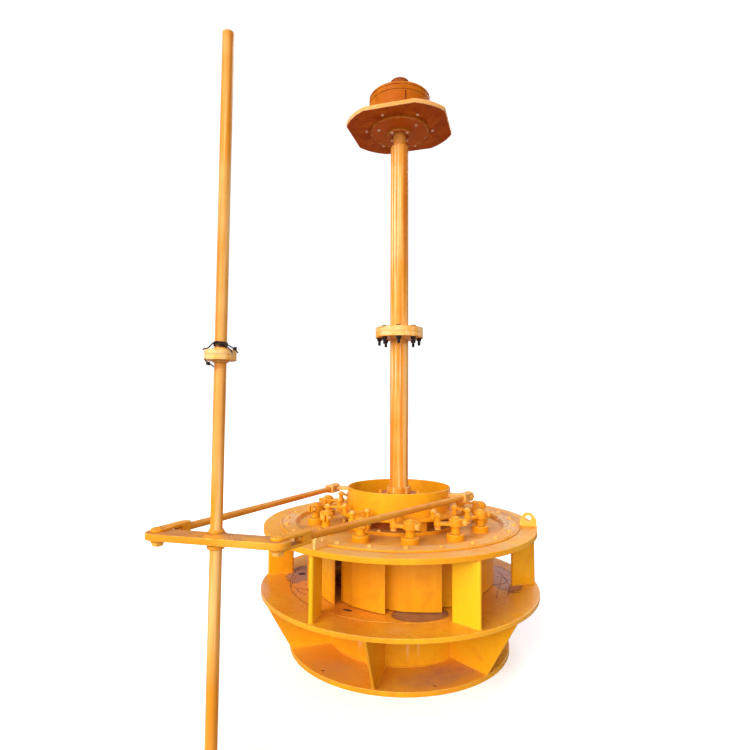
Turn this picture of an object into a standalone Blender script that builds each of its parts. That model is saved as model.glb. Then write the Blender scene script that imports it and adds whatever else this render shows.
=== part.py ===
# Open-flume vertical axial-flow turbine set with a kaplan-type runner.
#
# Metres, +Z up. The set stands on its bottom flange and on the governor shaft's foot bearing. The origin is
# at the middle of the whole set's footprint, on the floor. The photographed side looks along -Y. All pieces
# are made in the turbine's own frame, with the shaft's axis at x = y = 0, and one empty carries them to
# their place. Angles around the turbine are measured from the front (-Y), positive towards +X.

import math

import bmesh
import bpy
import numpy as np
from mathutils import Matrix, Vector

# Driving dimensions of the distributor, from the floor up
THROAT_RADIUS = 0.402
THROAT_WALL = 0.028
FLANGE_RADIUS = 0.680
FLANGE_TOP = 0.026
FLANGE_HOLE_CIRCLE = 0.635
FLANGE_HOLE_RADIUS = 0.010
FLANGE_HOLE_FACETS = 12
RIB_ANGLES = (-72.0, -13.5, 42.5, 104.0, 165.5, 226.5)
RIB_THICKNESS = 0.014
STAY_RING_RADIUS = 0.860
STAY_RING_BOTTOM = 0.340
STAY_RING_TOP = 0.365
BOTTOM_RING_RADIUS = 0.683
UPPER_RING_RADIUS = 0.850
UPPER_RING_BORE = 0.690
UPPER_RING_BOTTOM = 0.702
UPPER_RING_TOP = 0.732
STAY_VANE_COUNT = 6
STAY_VANE_OUTER = (0.850, 25.8)
STAY_VANE_INNER = (0.700, 20.5)
STAY_VANE_THICKNESS = 0.025
LUG_ANGLES = (-33.0, 78.0, 202.5)
LUG_CIRCLE = 0.800
LUG_WIDTH = 0.098
LUG_HEIGHT = 0.084
LUG_TOP_WIDTH = 0.038
LUG_SHOULDER = 0.038
LUG_THICKNESS = 0.016
LUG_EYE_HEIGHT = 0.050
LUG_EYE_RADIUS = 0.018

# Head cover, inner cover and shaft seal
COVER_RADIUS = 0.750
COVER_RIM_TOP = 0.742
COVER_FLOOR_RADIUS = 0.650
COVER_FLOOR_TOP = 0.715
COVER_UNDERSIDE = 0.700
COVER_BORE = 0.135
COVER_STEP_CLEARANCE = 0.0015
BOSS_RADIUS = 0.050
BOSS_TOP = 0.754
INNER_COVER_OUTSIDE = [(0.357, 0.680), (0.285, 0.600), (0.215, 0.480), (0.178, 0.380), (0.170, 0.300)]
INNER_COVER_INSIDE = [(0.162, 0.300), (0.170, 0.383), (0.207, 0.484), (0.277, 0.604), (0.345, 0.684)]
INNER_COVER_RIM = (0.345, 0.360)
SEAL_BARREL_RADIUS = 0.115
SEAL_FLANGE_RADIUS = 0.190
GLAND_RADIUS = 0.140
GLAND_BOTTOM = 0.880
GLAND_TOP = 0.903
SEAL_BOTTOM = 0.560
FOOT_FLANGE_THICKNESS = 0.020

# Guide vanes, levers and links
VANE_COUNT = 12
VANE_FIRST_ANGLE = 4.0
STEM_CIRCLE = 0.530
STEM_RADIUS = 0.0235
STEM_TOP = 0.846
VANE_NOSE = 0.135
VANE_TAIL = 0.166
VANE_THICKEST = -0.040
VANE_HALF_THICKNESS = 0.029
VANE_TIP_HALF_THICKNESS = 0.004
VANE_TILT = 12.0
VANE_BOTTOM = 0.370
VANE_TOP = 0.695
LEVER_ARM = 0.100
LEVER_ANGLE = 57.0
LEVER_HUB_RADIUS = 0.040
LEVER_HUB_HEIGHTS = (0.788, 0.830)
LEVER_ARM_HEIGHTS = (0.797, 0.817)
LEVER_ARM_ENDS = (0.030, 0.019)
CLAMP_EARS_SIZE = (0.036, 0.034)
LEVER_PIN_RADIUS = 0.0145
LEVER_PIN_BOTTOM = 0.772
LINK_BOTTOM = 0.845
LINK_THICKNESS = 0.012
LINK_EYE_RADIUS = 0.022
LINK_WAIST = 0.022
LINK_HEAD_RADIUS = 0.014
LINK_HEAD_HEIGHT = 0.012

# Regulating ring and its support
RING_RADIUS = 0.328
RING_WALL = 0.010
RING_BOTTOM = 0.800
RING_TOP = 0.950
RING_FLANGE_RADIUS = 0.400
RING_FLANGE_TOP = 0.815
RING_PIN_CIRCLE = 0.385
RING_PIN_LEAD = -5.0
RING_POST_RADIUS = 0.016
EAR_CIRCLE = 0.450
EAR_DIRECTION = (0.936, -0.352)
EAR_HEIGHTS = (0.903, 0.923)
EAR_HALF_WIDTH = 0.034
EAR_HOLE_RADIUS = 0.0150
SUPPORT_POST_COUNT = 6
SUPPORT_POST_FIRST_ANGLE = 23.0
SUPPORT_POST_CIRCLE = 0.330
SUPPORT_POST_SIZE = (0.035, 0.030)
SUPPORT_WALL = (0.265, 0.276)
SUPPORT_SEAT_RADIUS = 0.352
SUPPORT_SEAT_THICKNESS = 0.014
SUPPORT_FOOT_RADIUS = 0.362

# Main shaft line and thrust bearing
SHAFT_RADIUS = 0.059
NECK_RADIUS = 0.042
NECK_START = 3.205
NECK_CHAMFER = 0.006
COUPLING_RADIUS = 0.155
COUPLING_BOTTOM = 1.907
COUPLING_MIDDLE = 1.940
COUPLING_TOP = 1.973
COLLAR_RADIUS = 0.075
COLLAR_HEIGHTS = (0.908, 0.947)
PALM_RADIUS = 0.100
PALM_THICKNESS = 0.030
PLATE_BOTTOM = 3.319
PLATE_TOP = 3.347
PLATE_HALF_SIDE = 0.330
PLATE_CORNER_RADIUS = 0.3675
PLATE_DEPTH_SHARE = 0.88
PLATE_TURN = -16.5
PLATE_HOLE_CIRCLE = 0.334
PLATE_HOLE_RADIUS = 0.011
HOUSING_RADIUS = 0.205
HOUSING_TOP = 3.540
HOUSING_GROOVES = (3.485, 3.518)
GROOVE_DEPTH = 0.004
GROOVE_HALF_WIDTH = 0.003
RIM_CHAMFER = 0.008
LOWER_COVER_RADIUS = 0.194
LOWER_COVER_BOTTOM = 3.300
LOWER_GLAND_RADIUS = 0.080
LOWER_GLAND_BOTTOM = 3.280
SHAFT_END_RADIUS = 0.065
SHAFT_END_TOP = 3.660
SHAFT_END_CHAMFER = 0.008
SHAFT_END_STEP = 0.005

# Runner
HUB_RADIUS = 0.160
HUB_TOP = 0.285
HUB_CONE_START = 0.090
NOSE_BOTTOM = 0.012
BLADE_COUNT = 4
BLADE_FIRST_ANGLE = 20.0
BLADE_TIP_RADIUS = 0.3965
BLADE_CENTRE = 0.175
BLADE_ROOT_GAP = 0.0013
BLADE_CHORDS = (0.190, 0.340)
BLADE_PITCHES = (44.0, 22.0)
BLADE_HALF_THICKNESSES = (0.012, 0.004)
BLADE_EDGE_HALF_THICKNESS = 0.002
BLADE_CAMBER = 0.06

# Governor shaft, cross-lever and push rods
GOVERNOR_AXIS = (-0.785, -1.278)
GOVERNOR_RADIUS = 0.024
GOVERNOR_TOP = 3.030
GOVERNOR_BOTTOM = 0.012
GOVERNOR_COUPLING_RADIUS = 0.063
GOVERNOR_COUPLING = (1.640, 1.661, 1.682)
FOOT_RADIUS = 0.060
FOOT_SOLE = 0.018
FOOT_BODY_RADIUS = 0.042
FOOT_TOP = 0.055
CROSS_DIRECTION = (0.970, -0.244)
CROSS_ARM = 0.266
CROSS_HALF_WIDTH = 0.050
CROSS_HEIGHTS = (0.915, 0.943)
CROSS_PIN_RADIUS = 0.012
CROSS_PIN_HEIGHTS = (0.883, 0.960)
CROSS_HUB_ABOVE = [(0.028, 0.026), (0.034, 0.012), (0.050, -0.002)]
CROSS_HUB_BELOW = [(0.050, 0.002), (0.036, -0.004), (0.034, -0.022)]
ROD_RADIUS = 0.0165
THREAD_RADIUS = 0.0125
THREAD_LENGTH = 0.018
FORK_THROAT = 0.113
FORK_LENGTH = 0.150
FORK_EYE_RADIUS = 0.029
FORK_NECK_RADIUS = 0.022
FORK_CHEEK = 0.012
ROD_IN_CLEVIS = 0.020
CLEVIS_LENGTH = 0.090
CLEVIS_HALF_WIDTH = 0.028
CLEVIS_WALL = 0.014
CLEVIS_SLOT_DEPTH = 0.060
CLEVIS_PIN_RADIUS = 0.010
CLEVIS_PIN_OVERHANG = 0.020

# Gaps, overlaps of joined shapes, reach of cutters, and facet counts
GAP = 0.0003
RUNNING_GAP = 0.0004
BITE = 0.004
CUT_REACH = 0.020
MERGE = 0.00001
SHARP_ANGLE = 32.0
WIDE = 48
MIDDLE = 24
ROUND = 16
FINE = 14
COARSE = 10
SMALL = 8

# Paints and bare metals: colour, roughness, metallic
ORANGE = ((0.83, 0.36, 0.025), 0.35, 0.0)
DARK_RED = ((0.22, 0.045, 0.02), 0.5, 0.0)


def clear_scene():
    for obj in list(bpy.data.objects):
        bpy.data.objects.remove(obj, do_unlink=True)


def make_collection(name):
    collection = bpy.data.collections.new(name)
    bpy.context.scene.collection.children.link(collection)
    return collection


def spot(radius, angle):
    """The point at this radius and angle from the front, in the turbine's frame."""
    turn = math.radians(angle)
    return Vector((radius * math.sin(turn), -radius * math.cos(turn), 0.0))


def circle_of_spots(count, radius, first_angle):
    return [spot(radius, first_angle + step * 360.0 / count) for step in range(count)]


def direction(pair):
    return Vector((pair[0], pair[1], 0.0)).normalized()


def bore(radius, facets):
    """The radius of a faceted hole whose flats clear a faceted shaft of this radius in any turn."""
    return (radius + RUNNING_GAP) / math.cos(math.pi / facets)


# Shapes

def add_object(name, data):
    obj = bpy.data.objects.new(name, data)
    parts.objects.link(obj)
    return obj


def object_from(name, bm):
    mesh = bpy.data.meshes.new(name)
    bm.normal_update()
    bm.to_mesh(mesh)
    bm.free()
    return add_object(name, mesh)


def turned(name, profile, facets=WIDE, closed=True):
    """A profile of (radius, height) points, down the outer side from the top, turned about Z."""
    bm = bmesh.new()
    points = [bm.verts.new((radius, 0.0, height)) for radius, height in profile]
    ends = points[1:] + points[:1] if closed else points[1:]
    for start, end in zip(points, ends):
        bm.edges.new((start, end))
    obj = object_from(name, bm)
    screw = obj.modifiers.new("turn", "SCREW")
    screw.steps = facets
    screw.render_steps = facets
    screw.use_merge_vertices = True
    screw.merge_threshold = MERGE
    return obj


def disc(name, outer, inner, low, high, facets=WIDE):
    return turned(name, [(inner, high), (outer, high), (outer, low), (inner, low)], facets)


def cylinders(name, spots, radius, low, high, facets=FINE):
    bm = bmesh.new()
    for place in spots:
        matrix = Matrix.Translation((place.x, place.y, (low + high) / 2))
        bmesh.ops.create_cone(bm, cap_ends=True, segments=facets, radius1=radius, radius2=radius,
                              depth=high - low, matrix=matrix)
    return object_from(name, bm)


def boxes(name, size, places):
    """Boxes of one size. Each place is a centre and a turn about Z in degrees."""
    bm = bmesh.new()
    for centre, turn in places:
        matrix = Matrix.Translation(centre) @ Matrix.Rotation(math.radians(turn), 4, "Z")
        bmesh.ops.create_cube(bm, size=1.0, matrix=matrix @ Matrix.Diagonal((*size, 1.0)))
    return object_from(name, bm)


def plate(name, outline, low, high):
    """A flat outline of (x, y) points as a mesh between two heights."""
    curve = bpy.data.curves.new(name, "CURVE")
    curve.dimensions = "2D"
    curve.fill_mode = "BOTH"
    curve.extrude = (high - low) / 2
    spline = curve.splines.new("POLY")
    spline.points.add(len(outline) - 1)
    for point, (x, y) in zip(spline.points, outline):
        point.co = (x, y, 0.0, 1.0)
    spline.use_cyclic_u = True
    guide = add_object(name, curve)
    guide.location.z = (low + high) / 2
    return meshed(guide)


def meshed(guide):
    """The mesh object of a curve object, welded, in the curve's place."""
    bpy.context.view_layer.update()
    graph = bpy.context.evaluated_depsgraph_get()
    mesh = bpy.data.meshes.new_from_object(guide.evaluated_get(graph))
    bm = bmesh.new()
    bm.from_mesh(mesh)
    bmesh.ops.transform(bm, matrix=guide.matrix_world, verts=bm.verts)
    bmesh.ops.remove_doubles(bm, verts=bm.verts, dist=MERGE)
    bmesh.ops.recalc_face_normals(bm, faces=bm.faces)
    bm.to_mesh(mesh)
    bm.free()
    name = guide.name
    bpy.data.objects.remove(guide, do_unlink=True)
    return add_object(name, mesh)


def rod_between(name, start, end, radius, facets=ROUND):
    """A round bar from one point to another."""
    bm = bmesh.new()
    way = end - start
    matrix = Matrix.Translation((start + end) / 2) @ way.to_track_quat("Z", "X").to_matrix().to_4x4()
    bmesh.ops.create_cone(bm, cap_ends=True, segments=facets, radius1=radius, radius2=radius,
                          depth=way.length, matrix=matrix)
    return object_from(name, bm)


def combine(obj, other, operation):
    modifier = obj.modifiers.new(other.name, "BOOLEAN")
    modifier.operation = operation
    modifier.solver = "EXACT"
    modifier.object = other
    parts.objects.unlink(other)
    cutters.objects.link(other)
    other.hide_render = True
    other.display_type = "WIRE"
    return obj


def join(obj, other):
    return combine(obj, other, "UNION")


def cut(obj, other):
    return combine(obj, other, "DIFFERENCE")


def settle(obj):
    """Applies an object's modifiers, so that its copies can share the finished mesh."""
    bpy.context.view_layer.update()
    graph = bpy.context.evaluated_depsgraph_get()
    mesh = bpy.data.meshes.new_from_object(obj.evaluated_get(graph))
    helpers = [modifier.object for modifier in obj.modifiers if modifier.type == "BOOLEAN"]
    obj.modifiers.clear()
    obj.data = mesh
    for helper in helpers:
        bpy.data.objects.remove(helper, do_unlink=True)
    return obj


def copies(pattern, names, places):
    """One object for each name, all with the pattern's mesh. Each place is a location and a turn."""
    mesh = settle(pattern).data
    bpy.data.objects.remove(pattern, do_unlink=True)
    made = []
    for name, (location, turn) in zip(names, places):
        obj = add_object(name, mesh)
        obj.location = location
        obj.rotation_euler.z = math.radians(turn)
        made.append(obj)
    return made


def arc(centre, radius, start, end, steps):
    """Points of an arc, with its angles in degrees from +X."""
    turns = np.radians(np.linspace(start, end, steps + 1))
    return [(centre[0] + radius * math.cos(t), centre[1] + radius * math.sin(t)) for t in turns]


def capsule(length, first_radius, second_radius, steps=8):
    """A bar's outline along +X, from a round end at the origin to another at the given length."""
    lean = math.degrees(math.asin((first_radius - second_radius) / length))
    first = arc((0.0, 0.0), first_radius, 90.0 - lean, 270.0 + lean, steps)
    second = arc((length, 0.0), second_radius, -90.0 + lean, 90.0 - lean, steps)
    return first + second


# Distributor

def make_throat():
    radius = THROAT_RADIUS + THROAT_WALL
    low = FLANGE_TOP + GAP
    high = STAY_RING_BOTTOM - GAP
    throat = disc("throat_ring", radius, THROAT_RADIUS, low, high)
    root = radius - THROAT_WALL / 2
    side = [(root, low), (FLANGE_RADIUS, low), (STAY_RING_RADIUS, high), (root, high)]
    ribs = plate("ribs", side, -RIB_THICKNESS / 2, RIB_THICKNESS / 2)
    upright = Matrix.Rotation(math.radians(90.0), 4, "X")
    bm = bmesh.new()
    for angle in RIB_ANGLES:
        turn = Matrix.Rotation(math.radians(angle - 90.0), 4, "Z")
        start = len(bm.verts)
        bm.from_mesh(ribs.data)
        bm.verts.ensure_lookup_table()
        bmesh.ops.transform(bm, matrix=turn @ upright, verts=bm.verts[start:])
    bm.to_mesh(ribs.data)
    bm.free()
    return join(throat, ribs)


def make_bottom_flange():
    flange = disc("bottom_flange", FLANGE_RADIUS, THROAT_RADIUS, 0.0, FLANGE_TOP)
    following = [*RIB_ANGLES[1:], RIB_ANGLES[0] + 360.0]
    spots = [spot(FLANGE_HOLE_CIRCLE, (angle + after) / 2) for angle, after in zip(RIB_ANGLES, following)]
    holes = cylinders("flange_holes", spots, FLANGE_HOLE_RADIUS, -CUT_REACH, FLANGE_TOP + CUT_REACH,
                      FLANGE_HOLE_FACETS)
    return cut(flange, holes)


def make_rings():
    disc("bottom_ring", BOTTOM_RING_RADIUS - GAP, THROAT_RADIUS, STAY_RING_BOTTOM, STAY_RING_TOP)
    disc("lower_stay_ring", STAY_RING_RADIUS, BOTTOM_RING_RADIUS, STAY_RING_BOTTOM, STAY_RING_TOP)
    disc("upper_stay_ring", UPPER_RING_RADIUS, UPPER_RING_BORE, UPPER_RING_BOTTOM, UPPER_RING_TOP)


def make_stay_vanes():
    low = STAY_RING_TOP + GAP
    high = UPPER_RING_BOTTOM - GAP
    outer = spot(*STAY_VANE_OUTER)
    inner = spot(*STAY_VANE_INNER)
    half = STAY_VANE_THICKNESS / 2
    length = (outer - inner).length - 2 * half
    vane = plate("stay_vane", capsule(length, half, half, 6), low, high)
    heading = math.degrees(math.atan2(outer.y - inner.y, outer.x - inner.x))
    start = inner + (outer - inner).normalized() * half
    names = [f"stay_vane_{step + 1}" for step in range(STAY_VANE_COUNT)]
    places = []
    for step in range(STAY_VANE_COUNT):
        turn = step * 360.0 / STAY_VANE_COUNT
        location = Matrix.Rotation(math.radians(turn), 3, "Z") @ start
        places.append((location, heading + turn))
    copies(vane, names, places)


def make_lugs():
    """Lifting lugs: upright plates along a radius, with cut shoulders and an eye."""
    low = UPPER_RING_TOP + GAP
    side = LUG_WIDTH / 2
    crown = LUG_TOP_WIDTH / 2
    high = low + LUG_HEIGHT
    shoulder = high - LUG_SHOULDER
    outline = [(-side, low), (side, low), (side, shoulder), (crown, high), (-crown, high), (-side, shoulder)]
    lug = plate("lug", outline, -LUG_THICKNESS / 2, LUG_THICKNESS / 2)
    eye = cylinders("lug_eye", [Vector((0.0, low + LUG_EYE_HEIGHT, 0.0))], LUG_EYE_RADIUS,
                    -LUG_THICKNESS, LUG_THICKNESS, ROUND)
    settle(cut(lug, eye)).data.transform(Matrix.Rotation(math.radians(90.0), 4, "X"))
    names = [f"lifting_lug_{step + 1}" for step in range(len(LUG_ANGLES))]
    copies(lug, names, [(spot(LUG_CIRCLE, angle), angle - 90.0) for angle in LUG_ANGLES])


def make_head_cover():
    step_radius = UPPER_RING_BORE - COVER_STEP_CLEARANCE
    profile = [
        (COVER_BORE, COVER_FLOOR_TOP),
        (COVER_FLOOR_RADIUS, COVER_FLOOR_TOP),
        (COVER_FLOOR_RADIUS, COVER_RIM_TOP),
        (COVER_RADIUS, COVER_RIM_TOP),
        (COVER_RADIUS, UPPER_RING_TOP + GAP),
        (step_radius, UPPER_RING_TOP + GAP),
        (step_radius, COVER_UNDERSIDE),
        (COVER_BORE, COVER_UNDERSIDE),
    ]
    cover = turned("head_cover", profile)
    stems = circle_of_spots(VANE_COUNT, STEM_CIRCLE, VANE_FIRST_ANGLE)
    bosses = cylinders("stem_bosses", stems, BOSS_RADIUS, COVER_UNDERSIDE + BITE, BOSS_TOP)
    holes = cylinders("stem_holes", stems, bore(STEM_RADIUS, COARSE), COVER_UNDERSIDE - CUT_REACH,
                      BOSS_TOP + CUT_REACH, COARSE)
    return cut(join(cover, bosses), holes)


def make_inner_cover():
    """A hollow cone under the head cover, that leads the water to the runner's hub."""
    top = COVER_UNDERSIDE - GAP
    inside, outside = INNER_COVER_RIM
    profile = [(outside, top), *INNER_COVER_OUTSIDE, *INNER_COVER_INSIDE, (inside, top)]
    return turned("inner_cover", profile, MIDDLE)


def make_seal_housing():
    shaft_bore = bore(SHAFT_RADIUS, MIDDLE)
    flange_top = COVER_FLOOR_TOP + FOOT_FLANGE_THICKNESS
    profile = [
        (shaft_bore, GLAND_TOP),
        (GLAND_RADIUS, GLAND_TOP),
        (GLAND_RADIUS, GLAND_BOTTOM),
        (SEAL_BARREL_RADIUS, GLAND_BOTTOM),
        (SEAL_BARREL_RADIUS, flange_top),
        (SEAL_FLANGE_RADIUS, flange_top),
        (SEAL_FLANGE_RADIUS, COVER_FLOOR_TOP + GAP),
        (SEAL_BARREL_RADIUS, COVER_FLOOR_TOP + GAP),
        (SEAL_BARREL_RADIUS, SEAL_BOTTOM),
        (shaft_bore, SEAL_BOTTOM),
    ]
    return turned("seal_housing", profile, MIDDLE)


def make_ring_support():
    """An upright wall with a foot flange, a top flange that the regulating ring slides on, and posts."""
    foot_top = COVER_FLOOR_TOP + FOOT_FLANGE_THICKNESS
    seat_top = RING_BOTTOM - RUNNING_GAP
    seat_low = seat_top - SUPPORT_SEAT_THICKNESS
    inside, outside = SUPPORT_WALL
    profile = [
        (inside, seat_top),
        (SUPPORT_SEAT_RADIUS, seat_top),
        (SUPPORT_SEAT_RADIUS, seat_low),
        (outside, seat_low),
        (outside, foot_top),
        (SUPPORT_FOOT_RADIUS, foot_top),
        (SUPPORT_FOOT_RADIUS, COVER_FLOOR_TOP + GAP),
        (inside, COVER_FLOOR_TOP + GAP),
    ]
    support = turned("ring_support", profile)
    post_height = seat_low - foot_top + 2 * BITE
    middle = (seat_low + foot_top) / 2
    places = []
    for step in range(SUPPORT_POST_COUNT):
        angle = SUPPORT_POST_FIRST_ANGLE + step * 360.0 / SUPPORT_POST_COUNT
        places.append((spot(SUPPORT_POST_CIRCLE, angle) + Vector((0.0, 0.0, middle)), angle))
    return join(support, boxes("support_posts", (*SUPPORT_POST_SIZE, post_height), places))


# Regulating ring, vanes and links

def make_regulating_ring():
    inner = RING_RADIUS - RING_WALL
    profile = [
        (inner, RING_TOP),
        (RING_RADIUS, RING_TOP),
        (RING_RADIUS, RING_FLANGE_TOP),
        (RING_FLANGE_RADIUS, RING_FLANGE_TOP),
        (RING_FLANGE_RADIUS, RING_BOTTOM),
        (inner, RING_BOTTOM),
    ]
    ring = turned("regulating_ring", profile)
    spots = circle_of_spots(VANE_COUNT, RING_PIN_CIRCLE, VANE_FIRST_ANGLE + RING_PIN_LEAD)
    join(ring, cylinders("ring_posts", spots, RING_POST_RADIUS, RING_FLANGE_TOP - BITE,
                         LINK_BOTTOM - RUNNING_GAP, SMALL))
    root = RING_RADIUS - RING_WALL / 2
    outline = capsule(EAR_CIRCLE - root, EAR_HALF_WIDTH, EAR_HALF_WIDTH)
    curved = [(x + root, y) for x, y in outline if x >= 0.0][1:-1]
    pattern = [(root, -EAR_HALF_WIDTH), *curved, (root, EAR_HALF_WIDTH)]
    ear_way = math.atan2(EAR_DIRECTION[1], EAR_DIRECTION[0])
    low, high = EAR_HEIGHTS
    for side, sign in (("right", 1.0), ("left", -1.0)):
        ear = plate(f"ear_{side}", pattern, low, high)
        turn = ear_way if side == "right" else ear_way + math.pi
        ear.data.transform(Matrix.Rotation(turn, 4, "Z"))
        join(ring, ear)
        centre = sign * EAR_CIRCLE * direction(EAR_DIRECTION)
        cut(ring, cylinders(f"ear_hole_{side}", [centre], EAR_HOLE_RADIUS, low - CUT_REACH, high + CUT_REACH,
                            ROUND))
    return ring


def vane_outline():
    """A guide vane from above, with its stem at the origin and its outward side towards -Y.

    From the thickest place, s runs from 0 to 1 at either tip, and the half thickness falls with s^2."""
    to_nose = VANE_THICKEST + VANE_NOSE
    to_tail = VANE_TAIL - VANE_THICKEST
    xs = np.concatenate([VANE_THICKEST - to_nose * np.array([1.0, 0.75, 0.4]),
                         VANE_THICKEST + to_tail * np.array([0.0, 0.3, 0.6, 0.8, 1.0])])
    shares = np.where(xs < VANE_THICKEST, (VANE_THICKEST - xs) / to_nose, (xs - VANE_THICKEST) / to_tail)
    grown = VANE_HALF_THICKNESS - VANE_TIP_HALF_THICKNESS
    halves = VANE_TIP_HALF_THICKNESS + grown * (1.0 - shares ** 2)
    lean = math.tan(math.radians(VANE_TILT))
    near = [(x, -half - lean * x) for x, half in zip(xs, halves)]
    far = [(x, half - lean * x) for x, half in zip(xs, halves)]
    return near + far[::-1]


def lever_pin():
    """The lever's outer pin from the stem's axis, in the frame of a vane at the front."""
    turn = math.radians(LEVER_ANGLE)
    return Vector((-LEVER_ARM * math.sin(turn), LEVER_ARM * math.cos(turn), 0.0))


def make_guide_vanes():
    """Each vane is one piece with its stem and the lever that is clamped to it."""
    origin = Vector()
    vane = plate("guide_vane", vane_outline(), VANE_BOTTOM, VANE_TOP)
    join(vane, cylinders("stem", [origin], STEM_RADIUS, VANE_TOP - BITE, STEM_TOP, COARSE))
    join(vane, cylinders("lever_hub", [origin], LEVER_HUB_RADIUS, *LEVER_HUB_HEIGHTS, COARSE))
    pin = lever_pin()
    arm = plate("lever_arm", capsule(LEVER_ARM, *LEVER_ARM_ENDS, 3), *LEVER_ARM_HEIGHTS)
    arm.data.transform(Matrix.Rotation(math.atan2(pin.y, pin.x), 4, "Z"))
    join(vane, arm)
    join(vane, cylinders("lever_pin", [pin], LEVER_PIN_RADIUS, LEVER_PIN_BOTTOM, LINK_BOTTOM - RUNNING_GAP,
                         SMALL))
    clamp_way = -pin.normalized()
    clamp_turn = math.degrees(math.atan2(clamp_way.y, clamp_way.x))
    low, high = LEVER_HUB_HEIGHTS
    centre = clamp_way * (LEVER_HUB_RADIUS + BITE) + Vector((0.0, 0.0, (low + high) / 2))
    join(vane, boxes("clamp_ears", (*CLAMP_EARS_SIZE, high - low - 2 * BITE), [(centre, clamp_turn)]))
    names = [f"guide_vane_{step + 1}" for step in range(VANE_COUNT)]
    angles = [VANE_FIRST_ANGLE + step * 360.0 / VANE_COUNT for step in range(VANE_COUNT)]
    copies(vane, names, [(spot(STEM_CIRCLE, angle), angle) for angle in angles])


def make_links():
    """Links shaped like an eight, each turning on a lever's pin and lying on a post of the ring."""
    near = Vector((0.0, -STEM_CIRCLE, 0.0)) + lever_pin()
    far = spot(RING_PIN_CIRCLE, RING_PIN_LEAD)
    way = far - near
    high = LINK_BOTTOM + LINK_THICKNESS
    ends = [Vector(), Vector((way.length, 0.0, 0.0))]
    link = cylinders("link", ends[:1], LINK_EYE_RADIUS, LINK_BOTTOM, high, COARSE)
    join(link, cylinders("link_far_eye", ends[1:], LINK_EYE_RADIUS, LINK_BOTTOM, high, COARSE))
    middle = Vector((way.length / 2, 0.0, LINK_BOTTOM + LINK_THICKNESS / 2))
    join(link, boxes("link_bar", (way.length, LINK_WAIST, LINK_THICKNESS), [(middle, 0.0)]))
    join(link, cylinders("link_heads", ends, LINK_HEAD_RADIUS, high - BITE, high + LINK_HEAD_HEIGHT, SMALL))
    heading = math.degrees(math.atan2(way.y, way.x))
    names = [f"vane_link_{step + 1}" for step in range(VANE_COUNT)]
    places = []
    for step in range(VANE_COUNT):
        angle = VANE_FIRST_ANGLE + step * 360.0 / VANE_COUNT
        location = Matrix.Rotation(math.radians(angle), 3, "Z") @ near
        places.append((location, heading + angle))
    copies(link, names, places)


# Shaft line

def make_lower_shaft():
    profile = [
        (0.0, COUPLING_MIDDLE - GAP),
        (COUPLING_RADIUS, COUPLING_MIDDLE - GAP),
        (COUPLING_RADIUS, COUPLING_BOTTOM),
        (SHAFT_RADIUS, COUPLING_BOTTOM),
        (SHAFT_RADIUS, COLLAR_HEIGHTS[1]),
        (COLLAR_RADIUS, COLLAR_HEIGHTS[1]),
        (COLLAR_RADIUS, COLLAR_HEIGHTS[0]),
        (SHAFT_RADIUS, COLLAR_HEIGHTS[0]),
        (SHAFT_RADIUS, HUB_TOP + PALM_THICKNESS),
        (PALM_RADIUS, HUB_TOP + PALM_THICKNESS),
        (PALM_RADIUS, HUB_TOP + GAP),
        (0.0, HUB_TOP + GAP),
    ]
    return turned("lower_main_shaft", profile, MIDDLE, closed=False)


def make_upper_shaft():
    top = HOUSING_TOP + SHAFT_END_STEP
    profile = [
        (0.0, top),
        (NECK_RADIUS, top),
        (NECK_RADIUS, NECK_START + NECK_CHAMFER),
        (SHAFT_RADIUS, NECK_START),
        (SHAFT_RADIUS, COUPLING_TOP),
        (COUPLING_RADIUS, COUPLING_TOP),
        (COUPLING_RADIUS, COUPLING_MIDDLE + GAP),
        (0.0, COUPLING_MIDDLE + GAP),
    ]
    return turned("upper_main_shaft", profile, MIDDLE, closed=False)


def make_shaft_end():
    low = HOUSING_TOP + SHAFT_END_STEP + GAP
    profile = [
        (0.0, SHAFT_END_TOP),
        (SHAFT_END_RADIUS - SHAFT_END_CHAMFER, SHAFT_END_TOP),
        (SHAFT_END_RADIUS, SHAFT_END_TOP - SHAFT_END_CHAMFER),
        (SHAFT_END_RADIUS, low),
        (0.0, low),
    ]
    return turned("shaft_end", profile, MIDDLE, closed=False)


def make_runner_hub():
    """A round hub that narrows to a rounded nose, so that the set still stands on its flange."""
    turns = np.radians(np.linspace(0.0, 90.0, 7))
    height = HUB_CONE_START - NOSE_BOTTOM
    nose = [(HUB_RADIUS * math.cos(t), HUB_CONE_START - height * math.sin(t)) for t in turns[:-1]]
    profile = [(0.0, HUB_TOP), (HUB_RADIUS - RIM_CHAMFER, HUB_TOP), (HUB_RADIUS, HUB_TOP - RIM_CHAMFER)]
    return turned("runner_hub", profile + nose + [(0.0, NOSE_BOTTOM)], MIDDLE, closed=False)


def blade_section(radius, chord, pitch, half_thickness, steps=8):
    """One section of a blade, wrapped on a cylinder about the shaft: a ring of points.

    Along the chord, s runs from -1 to 1. The thickness is half_thickness * (1 - s^2) plus a blunt edge, and
    the camber lifts the middle by a share of the chord."""
    places = np.linspace(-1.0, 1.0, steps + 1)
    lift = BLADE_CAMBER * chord * (1.0 - places ** 2)
    half = BLADE_EDGE_HALF_THICKNESS + half_thickness * (1.0 - places ** 2)
    ring = np.concatenate([np.stack([places * chord / 2, lift + half], 1),
                           np.stack([places * chord / 2, lift - half], 1)[::-1]])
    along = ring[:, 0] * math.cos(pitch) - ring[:, 1] * math.sin(pitch)
    up = ring[:, 0] * math.sin(pitch) + ring[:, 1] * math.cos(pitch)
    turns = along / radius
    return np.stack([radius * np.sin(turns), -radius * np.cos(turns), BLADE_CENTRE + up], 1)


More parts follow.
